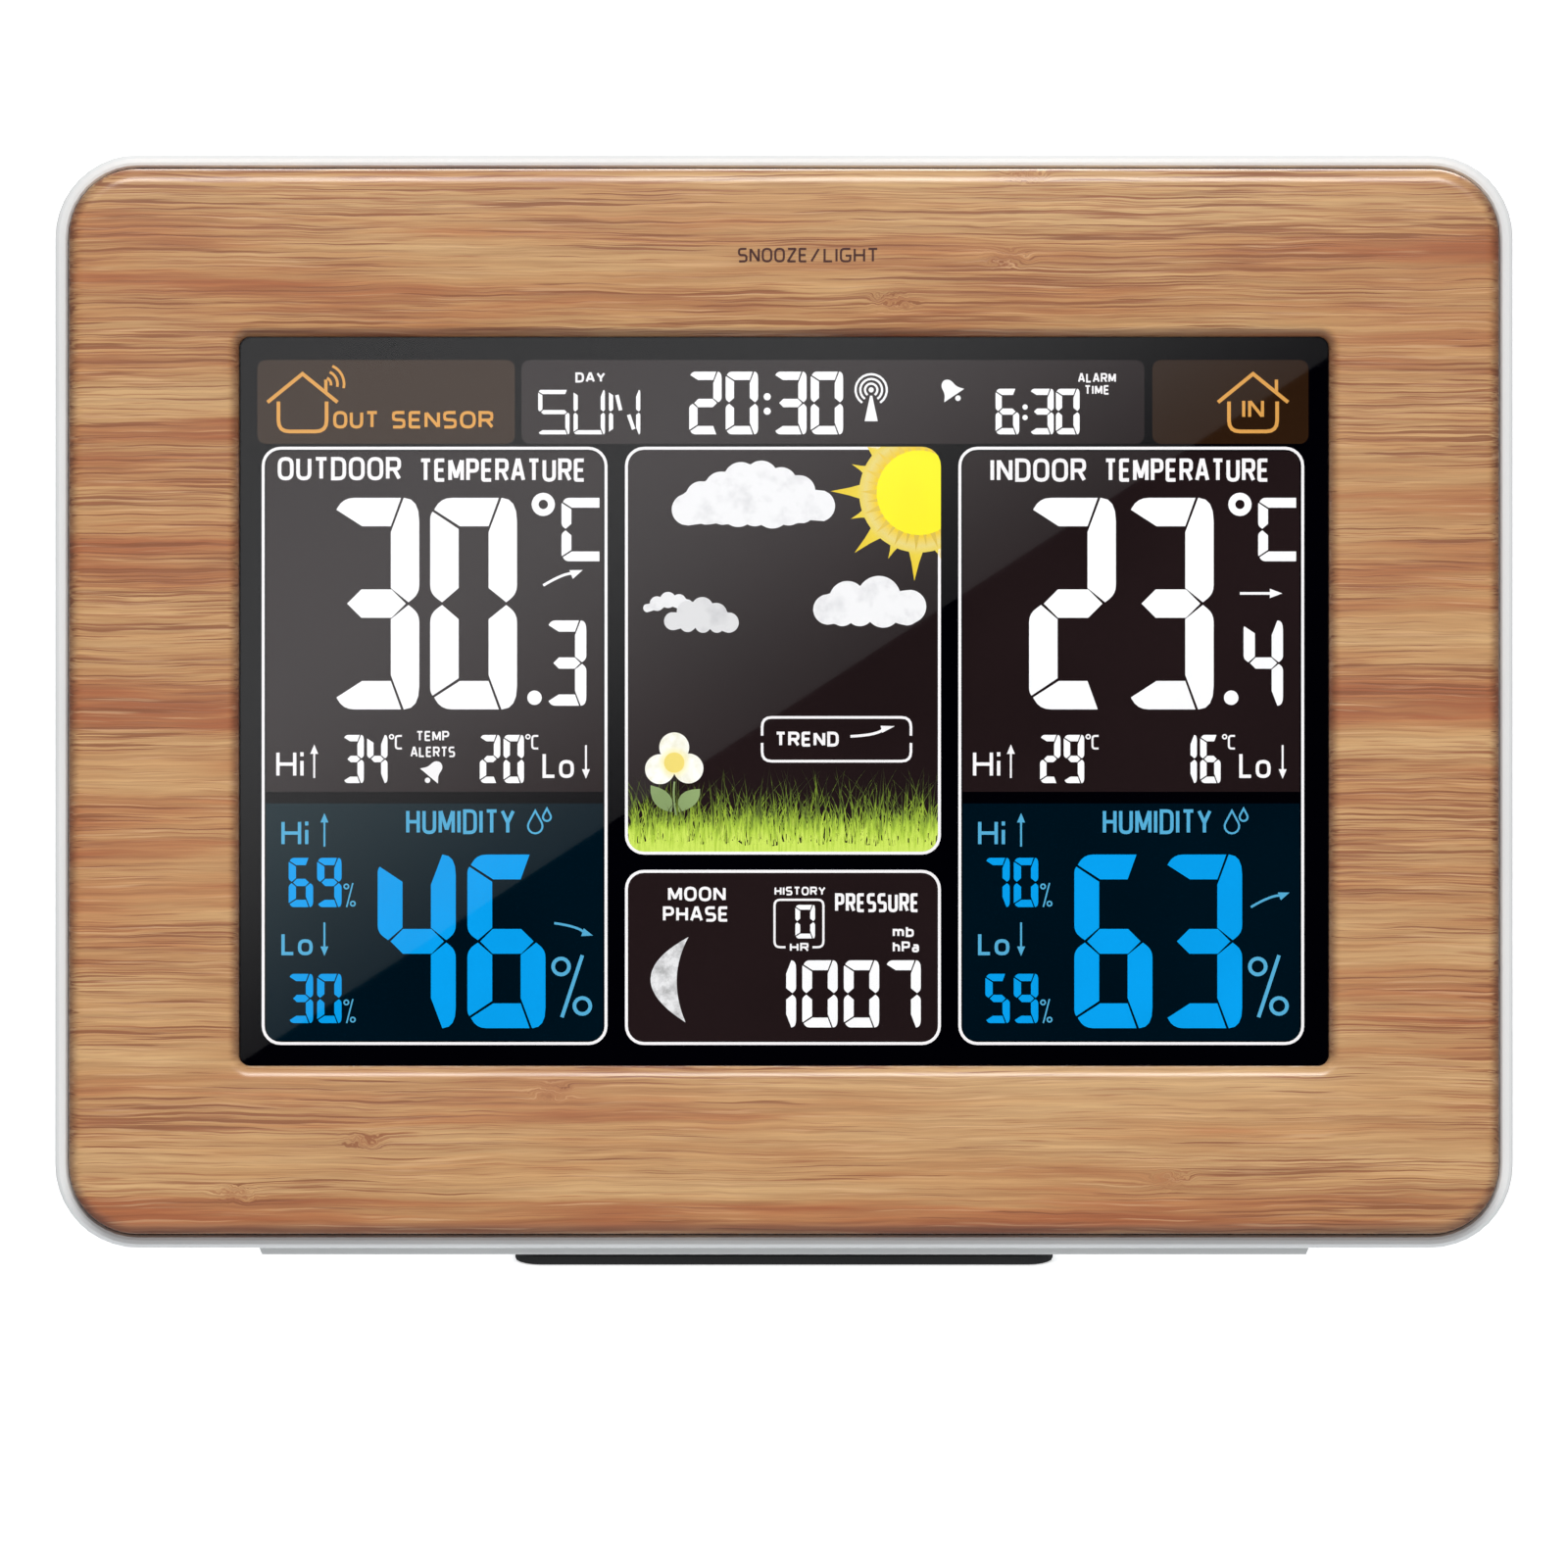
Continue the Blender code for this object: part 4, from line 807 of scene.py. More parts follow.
BAMBOO = bamboo()
WHITE_ABS = moulded("white_abs_satin", srgb(226, 226, 225), 0.42, tone=0.025)
RUBBER = moulded("black_rubber", srgb(36, 36, 37), 0.8, texture=5.0, relief=0.5, tone=0.15)
KEY_GREY = moulded("grey_key_plastic", srgb(150, 152, 154), 0.5, texture=4.0)
STEEL = metal("zinc_plate", srgb(196, 198, 202), 0.28)
INK = moulded("red_brown_ink", srgb(70, 30, 22), 0.6)
GREY_INK = moulded("grey_ink", srgb(120, 122, 125), 0.6)
WHITE = lit("white_segments", srgb(255, 255, 255))
PALE = lit("thin_white_lines", srgb(250, 248, 248))
BLUE = lit("blue_segments", srgb(8, 160, 236))
THIN_BLUE = lit("thin_blue_lines", srgb(86, 174, 214))
ORANGE = lit("orange_segments", srgb(224, 163, 83))

FINISHES = {
    "bamboo": BAMBOO,
    "white_abs": WHITE_ABS,
    "rubber": RUBBER,
    "grey_key": KEY_GREY,
    "steel": STEEL,
    "lcd_glass": unlit("lcd_border", srgb(1, 1, 4)),
    "black_abs": moulded("black_abs_satin", srgb(30, 30, 31), 0.5),
    "light_guide": moulded("light_guide_acrylic", srgb(232, 238, 240), 0.15, texture=1.2),
    "white_film": moulded("reflector_film", srgb(240, 240, 240), 0.6),
    "board": circuit_board(),
    "elastomer": moulded("zebra_rubber", srgb(180, 182, 190), 0.7),
    "chip": moulded("chip_epoxy", srgb(32, 32, 34), 0.55, texture=6.0),
    "ferrite": moulded("sintered_ferrite", srgb(58, 56, 56), 0.6, texture=4.0, relief=0.6),
    "copper": metal("enamelled_copper", srgb(206, 120, 66), 0.3),
    "cell_wrap": wrapped_cell(),
    "label": blank_label(),
    "red_pvc": moulded("red_wire", srgb(176, 24, 24), 0.4),
    "black_pvc": moulded("black_wire", srgb(28, 28, 28), 0.4),
    "lens": clear_lens(),
}


# ---- the front ----

LENS_LOW, LENS_HIGH = box_of("window_lens")
LCD_LOW = box_of("lcd_panel")[0]
OUTER_ROUND = 2.2
INNER_ROUND = 1.7
REBATE_STEP = 2.3  # how much wider the rebate behind the lip is, on each side
REBATE_RADIUS = 1.2
REBATE_DEPTH = 1.9
BACK_EDGE = 0.3
LENS_BEVEL = 0.25
PILOT_RADIUS = 1.6
PILOT_SPARE = 0.5  # how much deeper a pilot hole is than its screw


def loft(bm, sections, steps=14, capped=False):
    """A skin through rounded rectangles, each (width, height, radius, depth): a ring or a capped block."""
    loops = []
    for width, height, radius, depth in sections:
        outline = rounded_rectangle(width, height, radius, steps=steps)
        loops.append([bm.verts.new((x, depth, z)) for x, z in outline])
    for before, here in zip(loops, loops[1:] if capped else loops[1:] + loops[:1]):
        for i in range(len(here)):
            bm.faces.new((before[i - 1], before[i], here[i], here[i - 1]))
    if capped:
        bm.faces.new(loops[0])
        bm.faces.new(loops[-1][::-1])


def quarter(radius, steps=9):
    """How far a round edge is in from its side and down from its face, from the face to the side."""
    turns = [math.pi / 2 * i / steps for i in range(steps + 1)]
    return [(radius * (1 - math.sin(turn)), radius * (1 - math.cos(turn))) for turn in turns]


def make_front_frame():
    """The bamboo ring. Screws enter its back at the corners, as they do on the CAD node."""
    width, depth, height = FRAME_HIGH - FRAME_LOW
    sections = []
    for inset, drop in quarter(OUTER_ROUND):
        sections.append((width - 2 * inset, height - 2 * inset, FRAME_RADIUS - inset, drop))
    sections.append((width, height, FRAME_RADIUS, depth - BACK_EDGE))
    sections.append((width - 2 * BACK_EDGE, height - 2 * BACK_EDGE, FRAME_RADIUS - BACK_EDGE, depth))
    rebate = (WINDOW[0] + 2 * REBATE_STEP, WINDOW[1] + 2 * REBATE_STEP, REBATE_RADIUS)
    sections += [(*rebate, depth), (*rebate, REBATE_DEPTH), (*WINDOW, WINDOW_RADIUS, REBATE_DEPTH)]
    for inset, drop in quarter(INNER_ROUND)[::-1]:
        sections.append((WINDOW[0] + 2 * inset, WINDOW[1] + 2 * inset, WINDOW_RADIUS + inset, drop))
    bm = bmesh.new()
    loft(bm, sections)
    cut_pilot_holes(piece("bamboo_frame", bm, BAMBOO, replaces=["front_frame"]))


def cut_pilot_holes(ring):
    """Blind bores in the frame's back for the four case screws."""
    bm = bmesh.new()
    for number in range(1, 5):
        low, high = box_of(f"case_screw_{number}")
        tip = low.y - PILOT_SPARE
        end = FRAME_HIGH.y + 1  # past the back, so that the bore opens there
        middle = Matrix.Translation(((low.x + high.x) / 2, (tip + end) / 2, (low.z + high.z) / 2))
        place = middle @ Matrix.Rotation(math.pi / 2, 4, "X")
        round_bore = {"segments": 20, "radius1": PILOT_RADIUS, "radius2": PILOT_RADIUS, "depth": end - tip}
        bmesh.ops.create_cone(bm, cap_ends=True, matrix=place, **round_bore)
    bores = placed("pilot_holes", bm, DISPLAY @ Matrix.Scale(MM, 4))
    cut = ring.modifiers.new("pilot_holes", "BOOLEAN")
    cut.operation = "DIFFERENCE"
    cut.object = bores
    graph = bpy.context.evaluated_depsgraph_get()
    ring.data = bpy.data.meshes.new_from_object(ring.evaluated_get(graph))
    ring.modifiers.clear()
    bpy.data.objects.remove(bores)


def make_window():
    """The lens, with a polished bevel round both faces."""
    width, _, height = LENS_HIGH - LENS_LOW
    face = (width - 2 * LENS_BEVEL, height - 2 * LENS_BEVEL, 1.0)
    side = (width, height, 1.2)
    sections = [(*face, LENS_LOW.y), (*side, LENS_LOW.y + LENS_BEVEL)]
    sections += [(*side, LENS_HIGH.y - LENS_BEVEL), (*face, LENS_HIGH.y)]
    bm = bmesh.new()
    loft(bm, sections, steps=4, capped=True)
    piece("window_acrylic", bm, FINISHES["lens"], replaces=["window_lens"], sharp=20)


# ---- the display's picture ----

# The layers lie in the gap between the LCD's glass and the window.
FILL_DEPTH = LCD_LOW.y - 0.02
OVER_DEPTH = (LENS_HIGH.y + LCD_LOW.y) / 2
PRINT_DEPTH = OVER_DEPTH + 0.05
TOP_DEPTH = OVER_DEPTH - 0.05
LINE = 0.4  # the panels' border
FILL_SHINE = 0.7  # how much denser the film over the dark areas is than one that mirrors almost nothing

# Digits: width, height, bar thickness and pitch.
DEGREE_DIGITS = (11.9, 29.0, 3.9, 13.4)
TENTH_DIGIT = (5.4, 11.7, 1.55, 6)
DEGREE_LETTER = (5.2, 8.7, 1.35, 6)
LIMIT_DIGITS = (2.8, 6.6, 0.88, 3.25)
HUMIDITY_DIGITS = (10.7, 23.8, 3.4, 12.3)
HUMIDITY_LIMIT_DIGITS = (3.35, 6.75, 1.0, 3.9)
CLOCK_DIGITS = (4.45, 8.6, 1.15, 5.0)
ALARM_DIGITS = (3.25, 6.25, 0.85, 3.55)
DAY_LETTERS = (4.3, 6.1, 0.58, 4.85)
HISTORY_DIGIT = (2.7, 4.6, 0.66, 3)
PRESSURE_DIGITS = (4.85, 9.2, 1.35, 5.7)

# The panels' edges: left, right, bottom, top. The indoor panel repeats the outdoor one further right.
PANEL = (-71.4, -24.4, -46.9, 34.7)
INDOOR_SHIFT = 95.5
PICTURE = (-21.6, 21.3, -20.8, 34.7)
PRESSURE = (-21.6, 21.3, -46.9, -23.3)
PANEL_RADIUS = 2.4
TEMPERATURE_FILL = (-71.0, -24.8, -12.4, 34.3)
HUMIDITY_FILL = (-71.0, -24.8, -46.5, -14.0)
OUT_BOX = (-72.2, -36.9, 35.3, 46.8)
CLOCK_BOX = (-36.0, 49.4, 35.3, 46.8)
IN_BOX = (50.5, 71.9, 35.3, 46.8)
BOX_RADIUS = 1.2


def box_outline(edges, radius, inset=0.0, steps=6):
    left, right, bottom, top = edges
    centre = ((left + right) / 2, (bottom + top) / 2)
    size = (right - left - 2 * inset, top - bottom - 2 * inset)
    return rounded_rectangle(*size, max(0.05, radius - inset), centre, steps)


def shapes(name, material, layer):
    piece(name, layer.bm, material, sharp=0)


def panel_outline(edges):
    """A panel's area inside its border line."""
    return box_outline(edges, PANEL_RADIUS, LINE / 2)


def half_rounded(edges, top_radius, bottom_radius):
    """An outline with two round corners, at its top or at its bottom."""
    left, right, bottom, top = edges
    corners = [(left, top, top_radius), (left, bottom, bottom_radius)]
    return softened(corners + [(right, bottom, bottom_radius), (right, top, top_radius)])


def make_fills():
    """The dark areas that the backlight barely shows through."""
    brown = Print(FILL_DEPTH)
    blue = Print(FILL_DEPTH)
    amber = Print(FILL_DEPTH)
    for shift in (0, INDOOR_SHIFT):
        brown.shift = blue.shift = shift
        brown.area(half_rounded(TEMPERATURE_FILL, 2, 0))
        blue.area(half_rounded(HUMIDITY_FILL, 0, 2))
    brown.shift = 0
    for outline in (panel_outline(PICTURE), panel_outline(PRESSURE), box_outline(CLOCK_BOX, BOX_RADIUS)):
        brown.area(outline)
    for edges in (OUT_BOX, IN_BOX):
        amber.area(box_outline(edges, BOX_RADIUS))
    for name, colour, sheen, piece_name, layer in (
        ("brown_lcd", srgb(33, 23, 24), (1, 1, 1, 1), "panel_fills", brown),
        ("blue_lcd", srgb(0, 17, 28), (0.35, 0.9, 1, 1), "humidity_fills", blue),
        ("amber_lcd", srgb(44, 26, 13), (1, 0.85, 0.7, 1), "sensor_fills", amber),
    ):
        shapes(piece_name, unlit(name, colour, FILL_SHINE, sheen), layer)


def make_borders():
    lines = Print(PRINT_DEPTH)
    for edges, shift in ((PANEL, 0), (PANEL, INDOOR_SHIFT), (PICTURE, 0), (PRESSURE, 0)):
        lines.shift = shift
        lines.line(box_outline(edges, PANEL_RADIUS), LINE, closed=True)
    shapes("panel_borders", PALE, lines)


def unit(layer, left, bottom):
    """A small degree sign and C."""
    layer.ring((left + 0.4, bottom + 1.75), 0.28, 0.2, 10)
    layer.caption("C", left + 0.85, left + 1.95, bottom, bottom + 2.0, 0.27)


def bell(layer, x, z, size, lean):
    """A hand bell with its clapper. lean is the turn of its top to the left, in degrees."""
    turn = Matrix.Rotation(math.radians(lean), 2) * size

    def place(u, v):
        return tuple(Vector((x, z)) + turn @ Vector((u, v)))

    sides = [(0, 1.0, 0.15), (-0.4, 0.85, 0.3), (-0.48, 0.15, 0.25), (-0.85, -0.3, 0.05)]
    sides += [(0.85, -0.3, 0.05), (0.48, 0.15, 0.25), (0.4, 0.85, 0.3)]
    layer.area([place(u, v) for u, v in softened(sides, 3)])
    layer.area(arc(place(0.12, -0.6), 0.2 * size, 0, 330, 11))


def extreme(layer, word, left, bottom, width, height, reach):
    """The word Hi or Lo, with an arrow up or down at reach from its left."""
    layer.caption(word, left, left + width, bottom, bottom + height, 0.46)
    ends = [(left + reach, bottom - 0.1), (left + reach, bottom + 4.5)]
    layer.arrow(*(ends if word == "Hi" else ends[::-1]), head=1.3, width=0.26, slim=0.42)


def temperature_panel(layer, words, shift, digits, tenth, trend, limits):
    """A panel's upper half, drawn where the outdoor panel is and shifted."""
    layer.shift = words.shift = shift
    layer.digits(digits, -61.9, -1.1, *DEGREE_DIGITS)
    layer.dot((-34.2, 0.5), 1.0)
    layer.digits(tenth, -32.5, -0.6, *TENTH_DIGIT)
    layer.ring((-33.0, 27.0), 1.12, 0.95)
    layer.digits("C", -30.5, 19.2, *DEGREE_LETTER)
    layer.arrow(*trend, head=1.7, width=0.36, bow=0.3 if trend[0][1] != trend[1][1] else 0.0)
    for value, left in zip(limits, (-60.4, -41.7)):
        layer.digits(value, left, -11.2, *LIMIT_DIGITS)
        unit(words, left + 6.2, -6.6)
    extreme(words, "Hi", -69.6, -10.4, 3.75, 3.6, 5.2)
    extreme(words, "Lo", -33.1, -10.5, 4.3, 3.5, 5.95)


def percent(layer, x, z, width, height, stroke):
    radius = 0.24 * width
    layer.ring((x + radius, z + height - 1.15 * radius), radius - stroke / 2, stroke)
    layer.ring((x + width - radius, z + 1.15 * radius), radius - stroke / 2, stroke)
    layer.line([(x + 0.26 * width, z), (x + 0.76 * width, z + height)], stroke)


def drop(layer, x, z, size):
    """The outline of a water drop whose foot is at (x, z)."""
    point = [(x, z + 1.55 * size)]
    layer.line(point + arc((x, z + 0.5 * size), 0.5 * size, 150, 390, 10), 0.26, closed=True)


def humidity_panel(layer, lines, shift, digits, limits, trend):
    """A panel's lower half, drawn where the outdoor panel is and shifted."""
    layer.shift = lines.shift = shift
    lines.caption("HUMIDITY", -51.8, -36.9, -18.2, -14.8, 0.46)
    drop(lines, -34.1, -18.1, 2.0)
    drop(lines, -32.5, -16.4, 1.1)
    extreme(lines, "Hi", -68.9, -19.8, 3.7, 3.5, 5.9)
    extreme(lines, "Lo", -68.9, -34.8, 4.3, 3.1, 5.9)
    for value, bottom in zip(limits, (-28.2, -44.1)):
        layer.digits(value, -67.9, bottom, *HUMIDITY_LIMIT_DIGITS)
        percent(lines, -60.4, bottom, 1.7, 3.3, 0.2)
    layer.digits(digits, -55.7, -44.8, *HUMIDITY_DIGITS)
    lines.arrow(*trend, head=1.5, width=0.32, bow=0.3)
    percent(lines, -31.9, -43.3, 5.6, 8.5, 0.5)


def make_readings():
    """Temperatures in white and humidities in blue, outdoors and indoors."""
    white = Print(PRINT_DEPTH)
    small = Print(PRINT_DEPTH)
    rising = ((-33.0, 15.9), (-27.6, 18.0))
    level = ((-33.0, 14.8), (-27.2, 14.8))
    temperature_panel(white, small, 0, "30", "3", rising, ("34", "20"))
    temperature_panel(white, small, INDOOR_SHIFT, "23", "4", level, ("29", "16"))
    small.shift = 0
    small.captions(
        ("TEMP", -50.4, -45.9, -5.45, -4.05, 0.24),
        ("ALERTS", -51.2, -45.1, -7.65, -6.2, 0.24),
        ("OUTDOOR", -69.4, -52.5, 30.3, 33.5, 0.5),
        ("TEMPERATURE", -50.0, -27.2, 30.1, 33.3, 0.5),
        ("INDOOR", 28.3, 41.4, 30.1, 33.3, 0.5),
        ("TEMPERATURE", 43.9, 66.5, 30.1, 33.3, 0.5),
    )
    bell(small, -48.3, -9.8, 1.9, -40)
    shapes("temperature_digits", WHITE, white)
    shapes("temperature_captions", PALE, small)

    blue = Print(PRINT_DEPTH)
    lines = Print(PRINT_DEPTH)
    humidity_panel(blue, lines, 0, "46", ("69", "30"), ((-31.5, -30.4), (-26.2, -32.1)))
    humidity_panel(blue, lines, INDOOR_SHIFT, "63", ("70", "59"), ((-31.5, -28.2), (-26.2, -26.2)))
    shapes("humidity_digits", BLUE, blue)
    shapes("humidity_captions", THIN_BLUE, lines)


def house(layer, x, top, foot):
    """The outline of a house: a roof that overhangs, walls with round feet, and a chimney."""
    eaves = top - 3.9
    wall = eaves + 0.1
    layer.line([(x - 4.8, eaves), (x, top), (x + 4.8, eaves)], 0.5)
    layer.line(softened([(x - 3.3, wall), (x - 3.3, foot, 1.5), (x + 3.3, foot, 1.5), (x + 3.3, wall)]), 0.5)
    layer.line([(x + 3.2, top - 2.5), (x + 3.2, top - 0.8)], 0.45)


def make_top_row():
    """Outdoor sensor, day, clock, radio signal, alarm and indoor signs along the top."""
    orange = Print(PRINT_DEPTH)
    house(orange, -66.0, 44.9, 37.0)
    house(orange, 64.3, 44.9, 37.0)
    for radius in (0.9, 1.8, 2.7):
        orange.line(arc((-63.0, 43.5), radius, -12, 66, 6), 0.36)
    orange.captions(
        ("OUT", -61.8, -55.6, 37.4, 39.8, 0.42),
        ("SENSOR", -53.8, -39.8, 37.4, 39.8, 0.42),
        ("IN", 62.8, 65.8, 38.8, 41.4, 0.42),
    )
    shapes("sensor_signs", ORANGE, orange)

    white = Print(PRINT_DEPTH)
    white.digits("20:30", -13.0, 36.6, *CLOCK_DIGITS)
    white.digits("6:30", 29.0, 36.6, *ALARM_DIGITS)
    white.digits("SUN", -33.7, 36.6, *DAY_LETTERS)
    # The slanting bars of the N.
    white.line([(-22.9, 42.0), (-22.4, 39.9)], 0.5)
    white.line([(-21.3, 39.3), (-20.6, 37.3)], 0.5)
    mast = (11.95, 42.7)
    white.dot(mast, 0.36, 10)
    for radius in (0.85, 1.5, 2.15):
        white.line(arc(mast, radius, -55, 235, 18), 0.3)
    white.area([(11.8, 41.9), (12.1, 41.9), (12.85, 38.4), (11.05, 38.4)])
    bell(white, 23.0, 42.4, 1.95, 34)
    shapes("clock_digits", WHITE, white)
    small = Print(PRINT_DEPTH)
    small.captions(
        ("DAY", -28.6, -24.5, 43.7, 45.1, 0.3),
        ("ALARM", 40.3, 45.5, 43.7, 45.0, 0.24),
        ("TIME", 41.2, 44.6, 42.05, 43.35, 0.24),
    )
    shapes("clock_captions", PALE, small)


def make_pressure_panel():
    """The moon's phase, the hour of the history shown, and the air pressure."""
    small = Print(PRINT_DEPTH)
    small.captions(
        ("MOON", -15.9, -8.0, -27.4, -25.4, 0.38),
        ("PHASE", -16.6, -7.6, -30.2, -28.1, 0.38),
        ("HISTORY", -1.3, 5.7, -26.6, -25.4, 0.24),
        ("HR", 0.8, 3.4, -34.3, -33.1, 0.26),
        ("PRESSURE", 7.0, 18.5, -28.9, -26.3, 0.42),
        ("mb", 14.9, 17.8, -32.3, -30.8, 0.3),
        ("hPa", 14.9, 18.5, -34.4, -32.9, 0.3),
    )
    box = [(0.2, -33.7), (-1.3, -33.7, 0.8), (-1.3, -27.2, 0.8), (5.4, -27.2, 0.8), (5.4, -33.7, 0.8)]
    small.line(softened(box + [(3.9, -33.7)]), 0.3)
    shapes("pressure_captions", PALE, small)
    white = Print(PRINT_DEPTH)
    white.digits("0", 1.55, -32.5, *HISTORY_DIGIT)
    white.digits("1007", -3.2, -44.7, *PRESSURE_DIGITS)
    shapes("pressure_digits", WHITE, white)

    moon = Print(PRINT_DEPTH)
    limb = curved((-13.1, -32.3), (-18.3, -38.0), (-13.5, -44.0), 20)
    shadow = curved((-13.5, -44.0), (-14.7, -38.0), (-13.1, -32.3), 16)
    moon.area(limb + shadow[1:-1])
    shapes("moon_phase", moon_print(), moon)


def cloud(layer, middle, puffs, steps=150):
    """The outer edge of overlapping round puffs (x, z, radius), seen from the middle."""
    outline = []
    for step in range(steps):
        angle = 2 * math.pi * step / steps
        ray = Vector((math.cos(angle), math.sin(angle)))
        reach = 0.2
        for x, z, radius in puffs:
            centre = Vector((x, z)) - Vector(middle)
            along = centre.dot(ray)
            spare = along * along - centre.length_squared + radius * radius
            if spare > 0:
                reach = max(reach, along + math.sqrt(spare))
        outline.append((middle[0] + ray.x * reach, middle[1] + ray.y * reach))
    layer.area(outline)


# Each cloud has a middle and round puffs (x, z, radius).
WHITE_CLOUDS = (
    (
        (-4.2, 27.2),
        [(-13.2, 26.3, 2.2), (-11.3, 28.0, 2.2), (-8.6, 29.2, 2.3), (-5.9, 30.4, 2.4), (-3.1, 30.7, 2.3)]
        + [(-0.4, 29.9, 2.2), (2.1, 28.8, 2.2), (4.8, 26.8, 2.2), (-10.6, 26.1, 1.9), (-8.4, 26.2, 2.0)]
        + [(-6.3, 26.3, 2.4), (-4.0, 26.1, 2.1), (-1.6, 26.2, 2.5), (0.6, 26.1, 2.0), (2.4, 26.3, 1.9)],
    ),
    (
        (11.6, 13.0),
        [(6.1, 12.6, 2.1), (8.7, 14.0, 2.5), (13.0, 14.2, 3.0), (17.2, 13.0, 2.3), (10.4, 12.2, 1.9)]
        + [(8.0, 11.9, 1.6), (13.6, 12.5, 2.4), (16.8, 12.3, 1.9)],
    ),
)
FAR_CLOUD = (
    (-16.0, 13.3),
    [(-18.7, 12.8, 0.6), (-17.4, 13.4, 1.0), (-15.9, 13.9, 1.1), (-14.4, 13.7, 1.0), (-13.3, 13.2, 0.8)],
)
GREY_CLOUD = (
    (-11.2, 11.3),
    [(-15.2, 11.0, 1.25), (-13.2, 12.3, 1.5), (-11.2, 12.8, 1.5), (-9.3, 12.0, 1.5), (-7.6, 10.8, 1.4)]
    + [(-13.2, 10.6, 1.1), (-11.1, 10.5, 1.1), (-9.2, 10.4, 1.0)],
)


def make_clouds():
    """White clouds, and a grey one before a far one."""
    for name, look, bright, depth, clouds in (
        ("white_clouds", "cloud_print", 1.0, PRINT_DEPTH, WHITE_CLOUDS),
        ("far_cloud", "far_cloud_print", 0.95, PRINT_DEPTH, [FAR_CLOUD]),
        ("grey_cloud", "grey_cloud_print", 0.82, OVER_DEPTH, [GREY_CLOUD]),
    ):
        layer = Print(depth)
        for middle, puffs in clouds:
            cloud(layer, middle, puffs)
        shapes(name, cloud_print(look, bright), layer)


def make_sun():
    """A disc, a halo and pointed rays, long and short by turns, cut off by the panel's edge."""
    centre = (18.5, 28.6)
    disc_radius, halo_radius, ray_foot = 5.8, 8.2, 7.9
    window = box_outline(PICTURE, PANEL_RADIUS, -LINE / 2)
    look = sun_print(centre)

    def around(angle, radius):
        turn = math.radians(angle)
        return (centre[0] + radius * math.cos(turn), centre[1] + radius * math.sin(turn))

    rays = Print(PRINT_DEPTH)
    for i in range(16):
        angle = 22.0 * i + 3
        reach, half = (10.0, 4.6) if i % 2 else (12.1, 7.5)
        waist = ray_foot + 0.4 * (reach - ray_foot)
        ray = arc(centre, ray_foot, angle - half, angle + half, 4)
        ray += [around(angle + 0.42 * half, waist), around(angle, reach), around(angle - 0.42 * half, waist)]
        rays.area(clipped(ray, window))
    halo = Print(OVER_DEPTH)
    halo.area(clipped(arc(centre, halo_radius, 0, 354, 59), window))
    ticks = Print(OVER_DEPTH)
    for i in range(32):
        angle = 11.0 * i + 3
        reach, half = (7.4, 2.6) if i % 2 else (8.0, 4.2)
        tick = [around(angle - half, 5.6), around(angle + half, 5.6), around(angle, reach)]
        ticks.area(clipped(tick, window), rise=0.006)
    disc = Print(TOP_DEPTH)
    disc.area(clipped(arc(centre, disc_radius, 0, 354, 59), window))
    shapes("sun_rays", look, rays)
    shapes("sun_halo", look, halo)
    shapes("sun_ticks", lit("sun_ticks", srgb(236, 204, 84), uneven=0.2), ticks)
    shapes("sun_disc", lit("sun_disc", srgb(255, 244, 40)), disc)


def make_trend_box():
    """A box that is open at its sides' middles, round the word and an arrow."""
    lines = Print(PRINT_DEPTH)
    left, right, bottom, top = -3.0, 17.4, -8.2, -2.2
    gap = 0.5
    middle = (bottom + top) / 2
    for rise, edge in ((gap, top), (-gap, bottom)):
        path = [(left, middle + rise), (left, edge, 1.3), (right, edge, 1.3), (right, middle + rise)]
        lines.line(softened(path), 0.36)
    lines.caption("TREND", -1.2, 7.5, -6.2, -4.15, 0.4)
    lines.arrow((9.1, -4.8), (15.2, -3.4), head=1.9, width=0.36, bow=-0.35, slim=0.26)
    shapes("trend_box", PALE, lines)


def make_flower():
    """Three petals, a heart, and a stem with two leaves."""
    petals = Print(OVER_DEPTH)
    for x, z in ((-15.05, -6.3), (-17.0, -9.3), (-13.1, -9.2)):
        petals.area(arc((x, z), 2.05, 0, 350, 35), rise=0.004 * (x + 18))
    centre = (-15.05, -8.4)
    shapes("flower_petals", petal_print(centre), petals)
    heart = Print(TOP_DEPTH)
    heart.dot(centre, 1.4, 24)
    shapes("flower_heart", lit("flower_heart", srgb(242, 220, 116), uneven=0.14), heart)
    leaves = Print(OVER_DEPTH)
    leaves.line(curved((-15.0, -11.0), (-15.1, -13.0), (-14.8, -15.6)), 0.24)
    for side in (-1, 1):
        x, z = -14.9 + side * 0.5, -15.2
        tip = (x + side * 2.9, z + 3.7 - 0.5 * (side > 0))
        upper = curved((x, z), (x + side * 0.3, z + 2.4), tip, 6)
        lower = curved(tip, (x + side * 2.3, z + 1.2), (x, z), 6)
        leaves.area(upper + lower[1:-1], rise=0.004)
    shapes("flower_leaves", lit("leaf_green", srgb(150, 174, 116), uneven=0.3), leaves)


def blades(layer, chance, count, heights, half_width, floor, ceiling):
    """Bent blades of grass with their roots near the floor."""
    for _ in range(count):
        x = chance.uniform(PICTURE[0] + 0.3, PICTURE[1] - 0.3)
        root = floor + chance.uniform(0.0, 2.6)
        height = chance.uniform(*heights)
        lean = chance.gauss(0, 0.3) * height
        half = chance.uniform(0.7, 1.3) * half_width
        tip = (x + lean, min(root + height, ceiling))
        middle = (x + 0.35 * lean, root + 0.55 * height)
        one = curved((x - half, root), (middle[0] - 0.7 * half, middle[1]), tip, 4)
        other = curved(tip, (middle[0] + 0.7 * half, middle[1]), (x + half, root), 4)
        layer.area(clipped(one + other[1:], panel_outline(PICTURE)), rise=chance.uniform(0.002, 0.02))


